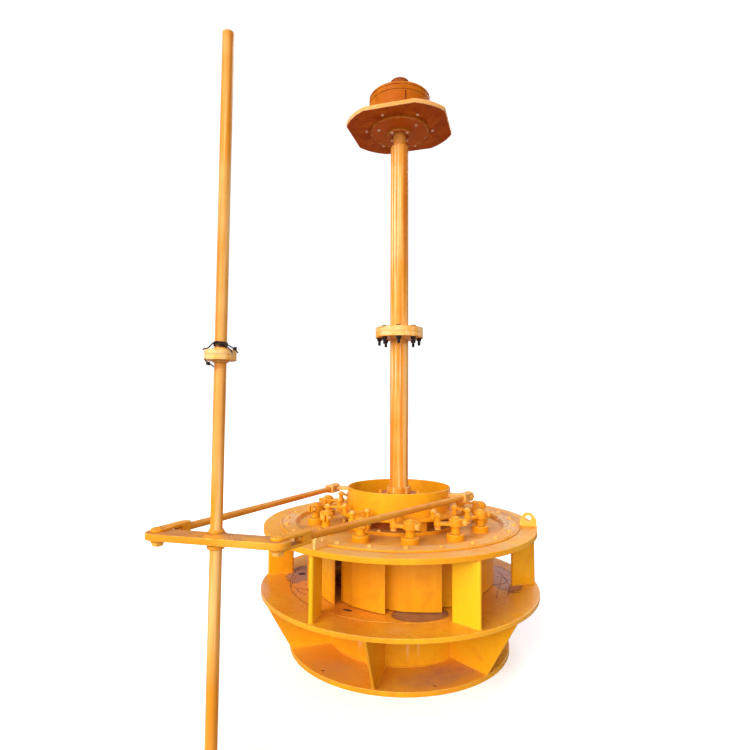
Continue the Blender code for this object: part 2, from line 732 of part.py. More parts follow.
def make_blades():
    """Blades lofted through wrapped sections, flat beside the hub and out to the throat."""
    sections = 5
    radii = np.linspace(HUB_RADIUS + BLADE_ROOT_GAP, BLADE_TIP_RADIUS, sections)
    chords = np.linspace(*BLADE_CHORDS, sections)
    pitches = np.radians(np.linspace(*BLADE_PITCHES, sections))
    halves = np.linspace(*BLADE_HALF_THICKNESSES, sections)
    bm = bmesh.new()
    rows = []
    for radius, chord, pitch, half in zip(radii, chords, pitches, halves):
        section = blade_section(radius, chord, pitch, half)
        rows.append([bm.verts.new(point) for point in section])
    count = len(rows[0])
    for near, far in zip(rows, rows[1:]):
        for step in range(count):
            after = (step + 1) % count
            bm.faces.new((near[step], near[after], far[after], far[step]))
    for row in (rows[0], rows[-1]):
        for step in range(count // 2 - 1):
            bm.faces.new((row[step], row[step + 1], row[count - 2 - step], row[count - 1 - step]))
    bmesh.ops.recalc_face_normals(bm, faces=bm.faces)
    blade = object_from("blade", bm)
    names = [f"runner_blade_{step + 1}" for step in range(BLADE_COUNT)]
    turns = [BLADE_FIRST_ANGLE + step * 360.0 / BLADE_COUNT for step in range(BLADE_COUNT)]
    copies(blade, names, [(Vector(), turn) for turn in turns])


# Thrust bearing

def plate_outline():
    """A square whose corners are cut by one circle, drawn in to a rectangle."""
    half_corner = 45.0 - math.degrees(math.acos(PLATE_HALF_SIDE / PLATE_CORNER_RADIUS))
    outline = []
    for corner in range(4):
        middle = 45.0 + 90.0 * corner
        outline += arc((0.0, 0.0), PLATE_CORNER_RADIUS, middle - half_corner, middle + half_corner, 6)
    return [(x, PLATE_DEPTH_SHARE * y) for x, y in outline]


def make_bearing_plate():
    base = plate("bearing_plate", plate_outline(), PLATE_BOTTOM, PLATE_TOP)
    low = PLATE_BOTTOM - CUT_REACH
    high = PLATE_TOP + CUT_REACH
    corners = [Vector((corner.x, PLATE_DEPTH_SHARE * corner.y, 0.0))
               for corner in circle_of_spots(4, PLATE_HOLE_CIRCLE, 45.0)]
    cut(base, cylinders("plate_holes", corners, PLATE_HOLE_RADIUS, low, high, FLANGE_HOLE_FACETS))
    cut(base, cylinders("plate_bore", [Vector()], bore(NECK_RADIUS, MIDDLE), low, high, MIDDLE))
    settle(base).data.transform(Matrix.Rotation(math.radians(PLATE_TURN), 4, "Z"))
    return base


def make_bearing_housing():
    neck = bore(NECK_RADIUS, MIDDLE)
    low = PLATE_TOP + GAP
    floor = HOUSING_RADIUS - GROOVE_DEPTH
    profile = [
        (neck, HOUSING_TOP),
        (HOUSING_RADIUS - RIM_CHAMFER, HOUSING_TOP),
        (HOUSING_RADIUS, HOUSING_TOP - RIM_CHAMFER),
    ]
    for height in reversed(HOUSING_GROOVES):
        above = height + GROOVE_HALF_WIDTH
        below = height - GROOVE_HALF_WIDTH
        profile += [(HOUSING_RADIUS, above), (floor, above), (floor, below), (HOUSING_RADIUS, below)]
    return turned("bearing_housing", [*profile, (HOUSING_RADIUS, low), (neck, low)], MIDDLE)


def make_lower_cover():
    neck = bore(NECK_RADIUS, MIDDLE)
    profile = [
        (neck, PLATE_BOTTOM - GAP),
        (LOWER_COVER_RADIUS, PLATE_BOTTOM - GAP),
        (LOWER_COVER_RADIUS, LOWER_COVER_BOTTOM),
        (LOWER_GLAND_RADIUS, LOWER_COVER_BOTTOM),
        (LOWER_GLAND_RADIUS, LOWER_GLAND_BOTTOM),
        (neck, LOWER_GLAND_BOTTOM),
    ]
    return turned("bearing_lower_cover", profile, MIDDLE)


# Governor shaft and push rods

def make_governor():
    place = Vector((*GOVERNOR_AXIS, 0.0))
    low, middle, high = GOVERNOR_COUPLING
    lower = turned("governor_lower_shaft", [
        (0.0, middle - GAP),
        (GOVERNOR_COUPLING_RADIUS, middle - GAP),
        (GOVERNOR_COUPLING_RADIUS, low),
        (GOVERNOR_RADIUS, low),
        (GOVERNOR_RADIUS, GOVERNOR_BOTTOM),
        (0.0, GOVERNOR_BOTTOM),
    ], FINE, closed=False)
    upper = turned("governor_upper_shaft", [
        (0.0, GOVERNOR_TOP),
        (GOVERNOR_RADIUS, GOVERNOR_TOP),
        (GOVERNOR_RADIUS, high),
        (GOVERNOR_COUPLING_RADIUS, high),
        (GOVERNOR_COUPLING_RADIUS, middle + GAP),
        (0.0, middle + GAP),
    ], FINE, closed=False)
    seat = bore(GOVERNOR_RADIUS, FINE)
    foot = turned("governor_foot_bearing", [
        (seat, FOOT_TOP),
        (FOOT_BODY_RADIUS, FOOT_TOP),
        (FOOT_BODY_RADIUS, FOOT_SOLE),
        (FOOT_RADIUS, FOOT_SOLE),
        (FOOT_RADIUS, 0.0),
        (0.0, 0.0),
        (0.0, GOVERNOR_BOTTOM - RUNNING_GAP),
        (seat, GOVERNOR_BOTTOM - RUNNING_GAP),
    ], FINE, closed=False)
    close_profile(foot)
    lever = make_cross_lever()
    for obj in (lower, upper, foot, lever):
        obj.location = place


def close_profile(obj):
    """Joins the last point of an open profile to the first, for a cup that reaches the axis."""
    bm = bmesh.new()
    bm.from_mesh(obj.data)
    bm.verts.ensure_lookup_table()
    bm.edges.new((bm.verts[-1], bm.verts[0]))
    bm.to_mesh(obj.data)
    bm.free()


def make_cross_lever():
    """A flat bar with round ends, a turned hub around the governor shaft, and a pin at each end."""
    low, high = CROSS_HEIGHTS
    bar = capsule(2 * CROSS_ARM, CROSS_HALF_WIDTH, CROSS_HALF_WIDTH, 12)
    lever = plate("cross_lever", [(x - CROSS_ARM, y) for x, y in bar], low, high)
    upper = [(radius, high + rise) for radius, rise in CROSS_HUB_ABOVE]
    lower = [(radius, low + rise) for radius, rise in CROSS_HUB_BELOW]
    hub_top = upper[0][1]
    hub_bottom = lower[-1][1]
    profile = [(0.0, hub_top), *upper, *lower, (0.0, hub_bottom)]
    join(lever, turned("cross_hub", profile, FINE, closed=False))
    ends = [Vector((CROSS_ARM, 0.0, 0.0)), Vector((-CROSS_ARM, 0.0, 0.0))]
    join(lever, cylinders("cross_pins", ends, CROSS_PIN_RADIUS, *CROSS_PIN_HEIGHTS, ROUND))
    shaft_hole = (GOVERNOR_RADIUS + GAP) / math.cos(math.pi / FINE)
    cut(lever, cylinders("cross_bore", [Vector()], shaft_hole, hub_bottom - CUT_REACH, hub_top + CUT_REACH))
    settle(lever).data.transform(Matrix.Rotation(math.atan2(CROSS_DIRECTION[1], CROSS_DIRECTION[0]), 4, "Z"))
    return lever


def make_push_rod(side):
    """A rod along +X from its fork around the cross-lever's end to its clevis around the ring's ear."""
    sign = 1.0 if side == "right" else -1.0
    start = Vector((*GOVERNOR_AXIS, 0.0)) + sign * CROSS_ARM * direction(CROSS_DIRECTION)
    end = sign * EAR_CIRCLE * direction(EAR_DIRECTION)
    length = (end - start).length
    fork_middle = sum(CROSS_HEIGHTS) / 2
    ear_middle = sum(EAR_HEIGHTS) / 2
    thread_start = Vector((FORK_THROAT - THREAD_LENGTH, 0.0, fork_middle))
    bar_start = Vector((FORK_THROAT + BITE, 0.0, fork_middle))
    bar_end = Vector((length - CLEVIS_LENGTH + ROD_IN_CLEVIS, 0.0, ear_middle))
    rod = make_fork(side)
    join(rod, rod_between(f"rod_thread_{side}", thread_start, bar_start, THREAD_RADIUS))
    join(rod, rod_between(f"rod_bar_{side}", bar_start, bar_end, ROD_RADIUS))
    join(rod, make_clevis(side, length))
    join(rod, cylinders(f"clevis_pin_{side}", [Vector((length, 0.0, 0.0))], CLEVIS_PIN_RADIUS,
                        EAR_HEIGHTS[0] - CLEVIS_PIN_OVERHANG, EAR_HEIGHTS[1] + CLEVIS_PIN_OVERHANG, ROUND))
    way = end - start
    settle(rod).data.transform(Matrix.Rotation(math.atan2(way.y, way.x), 4, "Z"))
    rod.location = start
    return rod


def make_fork(side):
    """Cheeks above and below the cross-lever's end, and the block between them that holds the rod."""
    low = CROSS_HEIGHTS[0] - RUNNING_GAP
    high = CROSS_HEIGHTS[1] + RUNNING_GAP
    bottom = low - FORK_CHEEK
    top = high + FORK_CHEEK
    fork = plate(f"push_rod_{side}", capsule(FORK_LENGTH, FORK_EYE_RADIUS, FORK_NECK_RADIUS), bottom, top)
    throat_size = (FORK_THROAT + 2 * FORK_EYE_RADIUS, 4 * FORK_EYE_RADIUS, high - low)
    throat_centre = Vector((FORK_THROAT - throat_size[0] / 2, 0.0, (low + high) / 2))
    cut(fork, boxes(f"fork_throat_{side}", throat_size, [(throat_centre, 0.0)]))
    return cut(fork, cylinders(f"fork_bore_{side}", [Vector()], bore(CROSS_PIN_RADIUS, ROUND),
                               bottom - CUT_REACH, top + CUT_REACH, ROUND))


def make_clevis(side, length):
    """A fork whose pin is at the given length, with a slot deep enough for the ear all along its stroke."""
    low, high = EAR_HEIGHTS
    outline = capsule_from_square(CLEVIS_LENGTH, CLEVIS_HALF_WIDTH)
    clevis = plate(f"clevis_{side}", [(x + length - CLEVIS_LENGTH, y) for x, y in outline],
                   low - CLEVIS_WALL, high + CLEVIS_WALL)
    slot_length = CLEVIS_SLOT_DEPTH + 2 * CLEVIS_HALF_WIDTH
    slot_size = (slot_length, 4 * CLEVIS_HALF_WIDTH, high - low + 2 * RUNNING_GAP)
    slot_centre = Vector((length - CLEVIS_SLOT_DEPTH + slot_length / 2, 0.0, (low + high) / 2))
    return settle(cut(clevis, boxes(f"clevis_slot_{side}", slot_size, [(slot_centre, 0.0)])))


def capsule_from_square(length, half_width):
    """A bar's outline along +X with a square end at the origin and a round end at the given length."""
    return [(0.0, half_width), (0.0, -half_width)] + arc((length, 0.0), half_width, -90.0, 90.0, 8)


def shade_round(obj):
    """Smooth shading on the finished mesh, with its sharp edges kept."""
    if obj.modifiers:
        settle(obj)
    obj.data.shade_smooth()
    obj.data.set_sharp_from_angle(angle=math.radians(SHARP_ANGLE))


def finish(obj, look):
    colour, roughness, metallic = look
    material = bpy.data.materials.new(f"{obj.name}_finish")
    material.use_nodes = True
    shader = material.node_tree.nodes["Principled BSDF"]
    shader.inputs["Base Color"].default_value = (*colour, 1.0)
    shader.inputs["Roughness"].default_value = roughness
    shader.inputs["Metallic"].default_value = metallic
    if obj.data.materials:
        obj.material_slots[0].link = "OBJECT"
        obj.material_slots[0].material = material
    else:
        obj.data.materials.append(material)


def carry_to_place():
    """Puts the turbine's axis where the origin is under the middle of the whole set."""
    pin = -CROSS_ARM * direction(CROSS_DIRECTION)
    left = GOVERNOR_AXIS[0] + pin.x - CROSS_HALF_WIDTH
    front = GOVERNOR_AXIS[1] - abs(pin.y) - CROSS_HALF_WIDTH
    carrier = bpy.data.objects.new("turbine_axis", None)
    parts.objects.link(carrier)
    carrier.location = (-(left + STAY_RING_RADIUS) / 2, -(front + STAY_RING_RADIUS) / 2, 0.0)
    for obj in [*parts.objects, *cutters.objects]:
        if obj is not carrier:
            obj.parent = carrier


clear_scene()
parts = make_collection("kaplan_turbine_set")
cutters = make_collection("cutters")

make_bottom_flange()
make_throat()
make_rings()
make_stay_vanes()
make_lugs()
make_head_cover()
make_inner_cover()
make_seal_housing()
make_ring_support()
make_regulating_ring()
make_guide_vanes()
make_links()
make_lower_shaft()
make_upper_shaft()
make_shaft_end()
make_runner_hub()
make_blades()
make_bearing_plate()
make_bearing_housing()
make_lower_cover()
make_governor()
make_push_rod("right")
make_push_rod("left")
carry_to_place()

for piece in parts.objects:
    if piece.type == "MESH":
        shade_round(piece)
        finish(piece, DARK_RED if piece.name == "shaft_end" else ORANGE)
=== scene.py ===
# Looks for an open-flume kaplan turbine set: orange paint, dust, bare patches, bolts, welds and binding wire.

import math

import bmesh
import bpy
import numpy as np
from mathutils import Matrix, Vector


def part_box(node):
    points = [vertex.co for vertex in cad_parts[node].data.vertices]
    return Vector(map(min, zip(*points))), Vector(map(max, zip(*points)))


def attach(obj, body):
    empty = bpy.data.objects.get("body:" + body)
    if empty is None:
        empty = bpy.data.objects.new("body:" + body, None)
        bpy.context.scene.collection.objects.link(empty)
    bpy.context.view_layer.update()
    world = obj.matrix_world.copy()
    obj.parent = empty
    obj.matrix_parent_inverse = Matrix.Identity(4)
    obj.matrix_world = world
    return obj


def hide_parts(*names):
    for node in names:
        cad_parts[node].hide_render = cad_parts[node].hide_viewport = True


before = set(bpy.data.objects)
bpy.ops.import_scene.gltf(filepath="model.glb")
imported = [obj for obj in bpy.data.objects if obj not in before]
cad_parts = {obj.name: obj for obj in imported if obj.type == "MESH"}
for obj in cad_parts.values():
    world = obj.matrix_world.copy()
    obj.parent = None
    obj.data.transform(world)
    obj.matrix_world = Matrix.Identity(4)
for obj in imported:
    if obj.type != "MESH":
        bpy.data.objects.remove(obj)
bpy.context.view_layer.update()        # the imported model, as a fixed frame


# Where things are: the two upright axes and the main levels, read from the frame

def middleOf(node):
    low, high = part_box(node)
    return np.array([(low.x + high.x) / 2, (low.y + high.y) / 2, 0.0])


turbineAxis = middleOf("bottom_flange")
governorAxis = middleOf("governor_upper_shaft")
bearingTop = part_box("bearing_housing")[1].z
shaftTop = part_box("shaft_end")[1].z
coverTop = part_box("upper_stay_ring")[1].z
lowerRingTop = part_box("lower_stay_ring")[1].z
wideSteps, middleSteps, fineSteps, smallSteps = 192, 96, 40, 20        # points round a turned piece
touch = 0.0003        # the gap that neighbouring pieces keep
lap = 0.001           # how far a weld bead or a rib's end stands off an edge
slip = 0.0008         # the play in a bore or under a collar
grip = 0.0008         # how far a clamped hub's bore lies inside its pin's side


# Numbers and turns

upsideDown = np.diag([1.0, 1.0, -1.0])
standing = np.array([[1.0, 0.0, 0.0], [0.0, 0.0, 1.0], [0.0, 1.0, 0.0]])        # y becomes the height
tipped = np.array([[1.0, 0.0, 0.0], [0.0, 0.0, -1.0], [0.0, 1.0, 0.0]])         # a quarter turn about X
lying = np.array([[0.0, 0.0, 1.0], [0.0, 1.0, 0.0], [-1.0, 0.0, 0.0]])          # z becomes x
upwards = (0.0, 0.0, 1.0)        # keeps a tube's rings upright along a level path


def spots(radius, angles, height=0.0):
    # Points (r sin a, -r cos a, z), with a from the front and positive towards +X
    a = np.radians(np.atleast_1d(np.asarray(angles, float)))
    return np.stack([radius * np.sin(a), -radius * np.cos(a), np.full(a.shape, height)], 1)


def evenly(count, first=0.0):
    return first + np.arange(count) * 360.0 / count


def unit(vectors):
    length = np.linalg.norm(vectors, axis=-1, keepdims=True)
    return vectors / np.maximum(length, 1e-12)


def turnZ(degrees):
    a = math.radians(degrees)
    return np.array([[math.cos(a), -math.sin(a), 0.0], [math.sin(a), math.cos(a), 0.0], [0.0, 0.0, 1.0]])


def headingOf(way):
    # The turn about Z that lays +X along a direction, in degrees
    return math.degrees(math.atan2(way[1], way[0]))


# Surfaces: each is points, four-cornered faces and the sharpness of each point

rounding = {"reach": 0.003, "band": 0.007, "nearShare": 0.46, "farShare": 0.49, "gain": 1.3, "fade": 0.45}


def cornered(points, reach=rounding["reach"], steps=4, band=rounding["band"], loose=()):
    # Each corner C becomes the curve (1-u)^2 A + 2u(1-u) C + u^2 B, with A and B `reach` away on its sides.
    # One more point lies a band further out on each side, so that wear stays beside the edge.
    # Gives the points and their sharpness: +1 on an outer corner, -1 in an inner one. Loose corners stay
    # as they are.
    corner = np.asarray(points, float)
    before = np.roll(corner, 1, 0) - corner
    after = np.roll(corner, -1, 0) - corner
    side = np.minimum(np.linalg.norm(before, axis=1), np.linalg.norm(after, axis=1))[:, None]
    held = np.ones((len(corner), 1))
    held[list(loose)] = 0.0
    reach = np.broadcast_to(reach, len(corner))[:, None]
    near = np.minimum(reach, rounding["nearShare"] * side) * held
    far = np.minimum(near + band, rounding["farShare"] * side) * held
    u = np.linspace(0.0, 1.0, steps)[None, :, None]
    a, b, c = (corner + unit(before) * near)[:, None], (corner + unit(after) * near)[:, None], corner[:, None]
    curve = (1 - u) ** 2 * a + 2 * u * (1 - u) * c + u ** 2 * b
    curve = np.concatenate([(corner + unit(before) * far)[:, None], curve,
                            (corner + unit(after) * far)[:, None]], 1)
    way, onward = unit(-before), unit(after)
    bend = way[:, 0] * onward[:, 1] - way[:, 1] * onward[:, 0]
    following = np.roll(corner, -1, 0)
    area = np.sum(corner[:, 0] * following[:, 1] - corner[:, 1] * following[:, 0])
    strength = np.clip(bend * np.sign(area) * rounding["gain"], -1.0, 1.0) * held[:, 0]
    fade = rounding["fade"]
    weight = np.concatenate([[0.0, fade], np.ones(max(steps - 2, 0)), [fade, 0.0]])
    return curve.reshape(-1, 2), (strength[:, None] * weight).reshape(-1)


def gridShell(grid, sharp=0.0, wrapRows=False, wrapColumns=True):
    # A surface P(row, column), closed on itself along its rows or columns where they wrap
    rows, columns = grid.shape[:2]
    index = np.arange(rows * columns).reshape(rows, columns)
    if wrapRows:
        index = np.vstack([index, index[:1]])
    if wrapColumns:
        index = np.hstack([index, index[:, :1]])
    faces = np.stack([index[:-1, :-1], index[:-1, 1:], index[1:, 1:], index[1:, :-1]], -1).reshape(-1, 4)
    return grid.reshape(-1, 3), faces, np.broadcast_to(sharp, (rows, columns)).reshape(-1).copy()


def joined(*shells):
    starts = np.cumsum([0] + [len(points) for points, _, _ in shells[:-1]])
    return (np.concatenate([points for points, _, _ in shells]),
            np.concatenate([faces + start for (_, faces, _), start in zip(shells, starts)]),
            np.concatenate([sharp for _, _, sharp in shells]))


def moved(shell, offset=(0.0, 0.0, 0.0), turn=None):
    points, faces, sharp = shell
    if turn is not None:
        points = points @ np.asarray(turn).T
    return points + np.asarray(offset, float), faces, sharp


def copied(shell, places, turns=0.0):
    # The shell at every place, turned about Z: P = R(turn) p + place, all copies at once
    points, faces, sharp = shell
    count = len(places)
    a = np.radians(np.broadcast_to(turns, count))
    rotation = np.zeros((count, 3, 3))
    rotation[:, 0, 0] = rotation[:, 1, 1] = np.cos(a)
    rotation[:, 0, 1] = -np.sin(a)
    rotation[:, 1, 0] = np.sin(a)
    rotation[:, 2, 2] = 1.0
    everywhere = np.einsum("nij,pj->npi", rotation, points) + np.asarray(places)[:, None]
    shifts = (np.arange(count) * len(points))[:, None, None]
    return everywhere.reshape(-1, 3), (faces[None] + shifts).reshape(-1, 4), np.tile(sharp, count)


def turned(profile, reach=rounding["reach"], steps=middleSteps, ring=False, place=(0.0, 0.0, 0.0),
           band=rounding["band"], corner=4):
    # A profile (r, z) turned about Z: P = place + (r sin a, -r cos a, z). A ring's profile closes on itself
    loose = () if ring else (0, len(profile) - 1)
    curve, sharp = cornered(profile, reach, corner, band, loose)
    a = np.arange(steps) * 2 * np.pi / steps
    r, z = curve[:, :1], curve[:, 1:]
    grid = np.stack([r * np.sin(a), -r * np.cos(a), z + 0 * a], -1) + np.asarray(place)
    return gridShell(grid, sharp[:, None], wrapRows=ring)


def barrel(radius, low, high, reach=0.002, steps=smallSteps, place=(0.0, 0.0, 0.0)):
    # A closed cylinder
    return turned([(0.0, high), (radius, high), (radius, low), (0.0, low)], reach, steps, place=place)


def ringShell(inner, outer, low, high, reach=0.0025, steps=middleSteps):
    # A flat ring or a pipe
    return turned([(inner, high), (outer, high), (outer, low), (inner, low)], reach, steps, ring=True)


plateEdge = {"angles": (0.0, 30.0, 60.0, 90.0), "sharp": (0.0, 0.45, 1.0, 1.0, 0.3), "rim": 0.002,
             "band": 0.006}


def plateShell(outline, core, low, high, rim=plateEdge["rim"], hole=False, band=plateEdge["band"]):
    # A flat plate whose edge is a quarter round: the outline drawn in by rim (1 - sin t) at rim (1 - cos t)
    # from each face. Its faces close on the core line, or run to the hole's edge where the core is a hole.
    outline, core = np.asarray(outline, float), np.asarray(core, float)
    inward = unit(core - outline)
    t = np.radians(plateEdge["angles"])
    insets = np.concatenate([[rim + band], rim * (1 - np.sin(t)), rim * (1 - np.sin(t[::-1])), [rim + band]])
    heights = np.concatenate([[low], low + rim * (1 - np.cos(t)), high - rim * (1 - np.cos(t[::-1])), [high]])
    sharp = np.array(plateEdge["sharp"] + plateEdge["sharp"][::-1])
    outer = outline[None] + inward[None] * insets[:, None, None]
    rows = [np.concatenate([outer, np.broadcast_to(heights[:, None, None], outer.shape[:2] + (1,))], -1)]
    if hole:
        inner = core[None] - inward[None] * insets[::-1, None, None]
        level = np.broadcast_to(heights[::-1, None, None], inner.shape[:2] + (1,))
        rows.append(np.concatenate([inner, level], -1))
        return gridShell(np.concatenate(rows), np.concatenate([sharp, sharp])[:, None], wrapRows=True)
    flat = np.concatenate([core, np.zeros((len(core), 1))], 1)[None]
    grid = np.concatenate([flat + [0.0, 0.0, low], rows[0], flat + [0.0, 0.0, high]])
    return gridShell(grid, np.concatenate([[0.0], sharp, [0.0]])[:, None])


def barOutline(length, first, second, steps=12):
    # A bar along +X with round ends, first radius at the origin, and the middle line that its faces close on
    lean = math.asin((first - second) / length)
    t = np.linspace(math.pi / 2 - lean, 3 * math.pi / 2 + lean, steps + 1)
    s = np.linspace(-math.pi / 2 + lean, math.pi / 2 - lean, steps + 1)
    outline = np.concatenate([np.stack([first * np.cos(t), first * np.sin(t)], 1),
                              np.stack([length + second * np.cos(s), second * np.sin(s)], 1)])
    return outline, coreLine(outline, 0.0, length)


def coreLine(outline, start, end):
    # Each point of the outline dropped onto the middle line, between its two ends
    return np.stack([np.clip(outline[:, 0], start, end), 0 * outline[:, 0]], 1)


def blockShell(size, place=(0.0, 0.0, 0.0), turn=0.0, corner=rounding["reach"]):
    # A block with rounded corners, centred on its place
    x, y, z = np.asarray(size) / 2
    outline, _ = cornered([(-x, -y), (x, -y), (x, y), (-x, y)], corner)
    return moved(plateShell(outline, outline * 0.0, -z, z), place, turnZ(turn))


def tongueShell(start, end, half, low, high):
    # A plate along +X with a square end at the start and a round end about the far point
    a = np.linspace(-math.pi / 2, math.pi / 2, 17)
    tip = np.stack([end + half * np.cos(a), half * np.sin(a)], 1)
    outline = np.concatenate([[(start, half), (start, -half)], tip])
    return plateShell(outline, coreLine(outline, start + half, end), low, high)


def respaced(outline, count=72):
    # The same closed outline with its points evenly spaced along it
    closed = np.concatenate([outline, outline[:1]])
    along = np.concatenate([[0.0], np.cumsum(np.linalg.norm(np.diff(closed, axis=0), axis=1))])
    s = np.linspace(0.0, along[-1], count, endpoint=False)
    return np.stack([np.interp(s, along, closed[:, axis]) for axis in (0, 1)], 1)


def holedShell(outline, centre, radius, low, high, rim=plateEdge["rim"]):
    # A plate with a round hole: each point of the hole's edge faces a point of the outline
    outline = np.asarray(outline, float)
    centre = np.asarray(centre, float)
    return plateShell(outline, centre + radius * unit(outline - centre), low, high, rim, hole=True)


def tubeShell(path, radius, sides=8, closed=False, guide=(0.31, 0.52, 0.79)):
    # A circle carried along a path: P = C(s) + r(s) (N cos t + B sin t), with N square to the path and to
    # the guide
    path = np.asarray(path, float)
    radius = np.broadcast_to(radius, len(path)).astype(float)
    if closed:
        tangent = unit(np.roll(path, -1, 0) - np.roll(path, 1, 0))
    else:
        path = np.concatenate([path[:1], path, path[-1:]])
        radius = np.concatenate([[0.0], radius, [0.0]])
        tangent = np.gradient(path[1:-1], axis=0)
        tangent = unit(np.concatenate([tangent[:1], tangent, tangent[-1:]]))
    normal = unit(np.cross(tangent, np.asarray(guide, float)))
    side = np.cross(tangent, normal)
    t = np.arange(sides) * 2 * np.pi / sides
    grid = path[:, None] + radius[:, None, None] * (normal[:, None] * np.cos(t)[:, None]
                                                    + side[:, None] * np.sin(t)[:, None])
    return gridShell(grid, 0.0, wrapRows=closed)


def smoothPath(points, count=48):
    # A curve through the points: each stretch is the cubic whose slope at a point joins its two neighbours
    points = np.asarray(points, float)
    slopes = np.gradient(points, axis=0)
    s = np.linspace(0.0, len(points) - 1.001, count)
    k = s.astype(int)
    u = (s - k)[:, None]
    return ((2 * u ** 3 - 3 * u ** 2 + 1) * points[k] + (u ** 3 - 2 * u ** 2 + u) * slopes[k]
            + (3 * u ** 2 - 2 * u ** 3) * points[k + 1] + (u ** 3 - u ** 2) * slopes[k + 1])


def circlePath(radius, height, count=240):
    # A closed circle's points, without the last one, which is the first again
    return spots(radius, np.linspace(0.0, 360.0, count), height)[:-1]


weldLook = {"pitch": 0.0065, "ripple": 0.16, "wander": 0.10, "sides": 6, "perPitch": 3, "least": 8,
            "rates": (17.0, 41.0, 83.0), "phase": 6.28}


def weldShell(path, size, closed=False, seed=1):
    # A bead: a tube whose radius ripples as size (1 + ripple cos(2 pi s / pitch)) and wanders slowly
    path = np.asarray(path, float)
    along = np.concatenate([[0.0], np.cumsum(np.linalg.norm(path[1:] - path[:-1], axis=1))])
    count = max(int(along[-1] / weldLook["pitch"] * weldLook["perPitch"]), weldLook["least"])
    s = np.linspace(0.0, along[-1], count, endpoint=not closed)
    fine = np.stack([np.interp(s, along, path[:, axis]) for axis in range(3)], 1)
    shifts = np.random.default_rng(seed).uniform(0.0, weldLook["phase"], 3)
    waves = sum(np.sin(s * rate + shift) for rate, shift in zip(weldLook["rates"], shifts)) / 3
    radius = size * (1 + weldLook["ripple"] * np.cos(2 * np.pi * s / weldLook["pitch"])
                     + weldLook["wander"] * waves)
    return tubeShell(fine, radius, weldLook["sides"], closed)


nutLook = {"washer": 0.14, "chamfer": 0.12, "crown": 0.86, "straight": 0.8, "tip": 0.75, "sharp": 0.5}


def nutShell(size, height, washer=0.0, stud=0.0, studRadius=0.5):
    # A six-sided nut or bolt head standing on z = 0. Its corner radius is size, and in between the radius is
    # size cos(30) / cos(a mod 60 - 30). A washer lies under it and a stud's end stands above it.
    a = np.arange(12) * np.pi / 6
    six = math.cos(math.pi / 6) / np.cos(np.mod(a, math.pi / 3) - math.pi / 6)
    thin = nutLook["washer"] * size if washer else 0.0
    rows = [(0.0, 0.0, 0), (size * max(washer, 1.0), 0.0, 0)]
    rows += [(size * washer, thin, 0)] if washer else []
    rows += [(size, thin, 1), (size, height - nutLook["chamfer"] * size, 1)]
    rows += [(size * nutLook["crown"], height, 0)]
    if stud:
        thick = size * studRadius
        rows += [(thick, height, 0), (thick, height + stud * nutLook["straight"], 0),
                 (thick * nutLook["tip"], height + stud, 0)]
    rows += [(0.0, rows[-1][1], 0)]
    radius, level, isHex = (np.array(column, float)[:, None] for column in zip(*rows))
    r = radius * (1 + isHex * (six - 1))
    return gridShell(np.stack([r * np.cos(a), r * np.sin(a), level + 0 * a], -1), nutLook["sharp"] * isHex)


def boltCircle(fastener, radius, angles, height, turns=0.0, turn=None):
    # The same nut or bolt on every spot of a circle. A fastener is the numbers that nutShell takes
    return copied(moved(nutShell(*fastener), turn=turn), spots(radius, angles, height), turns)


# Nodes: effects that several materials share are groups

def newGroup(name, inputs, outputs):
    group = bpy.data.node_groups.new(name, "ShaderNodeTree")
    for label, kind, value in inputs:
        socket = group.interface.new_socket(name=label, in_out="INPUT", socket_type="NodeSocket" + kind)
        if value is not None:
            socket.default_value = value
    for label, kind in outputs:
        group.interface.new_socket(name=label, in_out="OUTPUT", socket_type="NodeSocket" + kind)
    given, out = group.nodes.new("NodeGroupInput"), group.nodes.new("NodeGroupOutput")
    return group, [given.outputs[label] for label, _, _ in inputs], out


def plug(tree, node, sockets):
    # A socket is linked to another one, or else set to a plain value
    for name, source in sockets.items():
        if isinstance(source, bpy.types.NodeSocket):
            tree.links.new(source, node.inputs[name])
        else:
            node.inputs[name].default_value = source


def addNode(tree, kind, sockets=None, **settings):
    node = tree.nodes.new(kind)
    for name, value in settings.items():
        setattr(node, name, value)
    plug(tree, node, sockets or {})
    return node


def placeIn(tree):
    return addNode(tree, "ShaderNodeTexCoord").outputs["Object"]


def upwardIn(tree):
    # +1 where the surface faces up and -1 where it faces down
    normal = addNode(tree, "ShaderNodeNewGeometry").outputs["Normal"]
    return addNode(tree, "ShaderNodeSeparateXYZ", {"Vector": normal}).outputs["Z"]


def noiseAt(tree, vector, scale, detail=3.0, roughness=0.55):
    sockets = {"Vector": vector, "Scale": scale, "Detail": detail, "Roughness": roughness}
    return addNode(tree, "ShaderNodeTexNoise", sockets).outputs["Fac"]


def remap(tree, value, low, high, toLow=0.0, toHigh=1.0):
    sockets = {"Value": value, "From Min": low, "From Max": high, "To Min": toLow, "To Max": toHigh}
    return addNode(tree, "ShaderNodeMapRange", sockets, interpolation_type="SMOOTHSTEP").outputs["Result"]


def maths(tree, operation, first, second=0.0):
    return addNode(tree, "ShaderNodeMath", {0: first, 1: second}, operation=operation).outputs[0]


def times(tree, first, second):
    return maths(tree, "MULTIPLY", first, second)


def plus(tree, first, second):
    return maths(tree, "ADD", first, second)


def mixed(tree, share, first, second):
    return addNode(tree, "ShaderNodeMix", {0: share, 6: first, 7: second}, data_type="RGBA").outputs[2]


def stretched(tree, vector, scale=(1.0, 1.0, 1.0), place=(0.0, 0.0, 0.0), turn=(0.0, 0.0, 0.0)):
    sockets = {"Vector": vector, "Scale": scale, "Location": place, "Rotation": turn}
    return addNode(tree, "ShaderNodeMapping", sockets).outputs["Vector"]


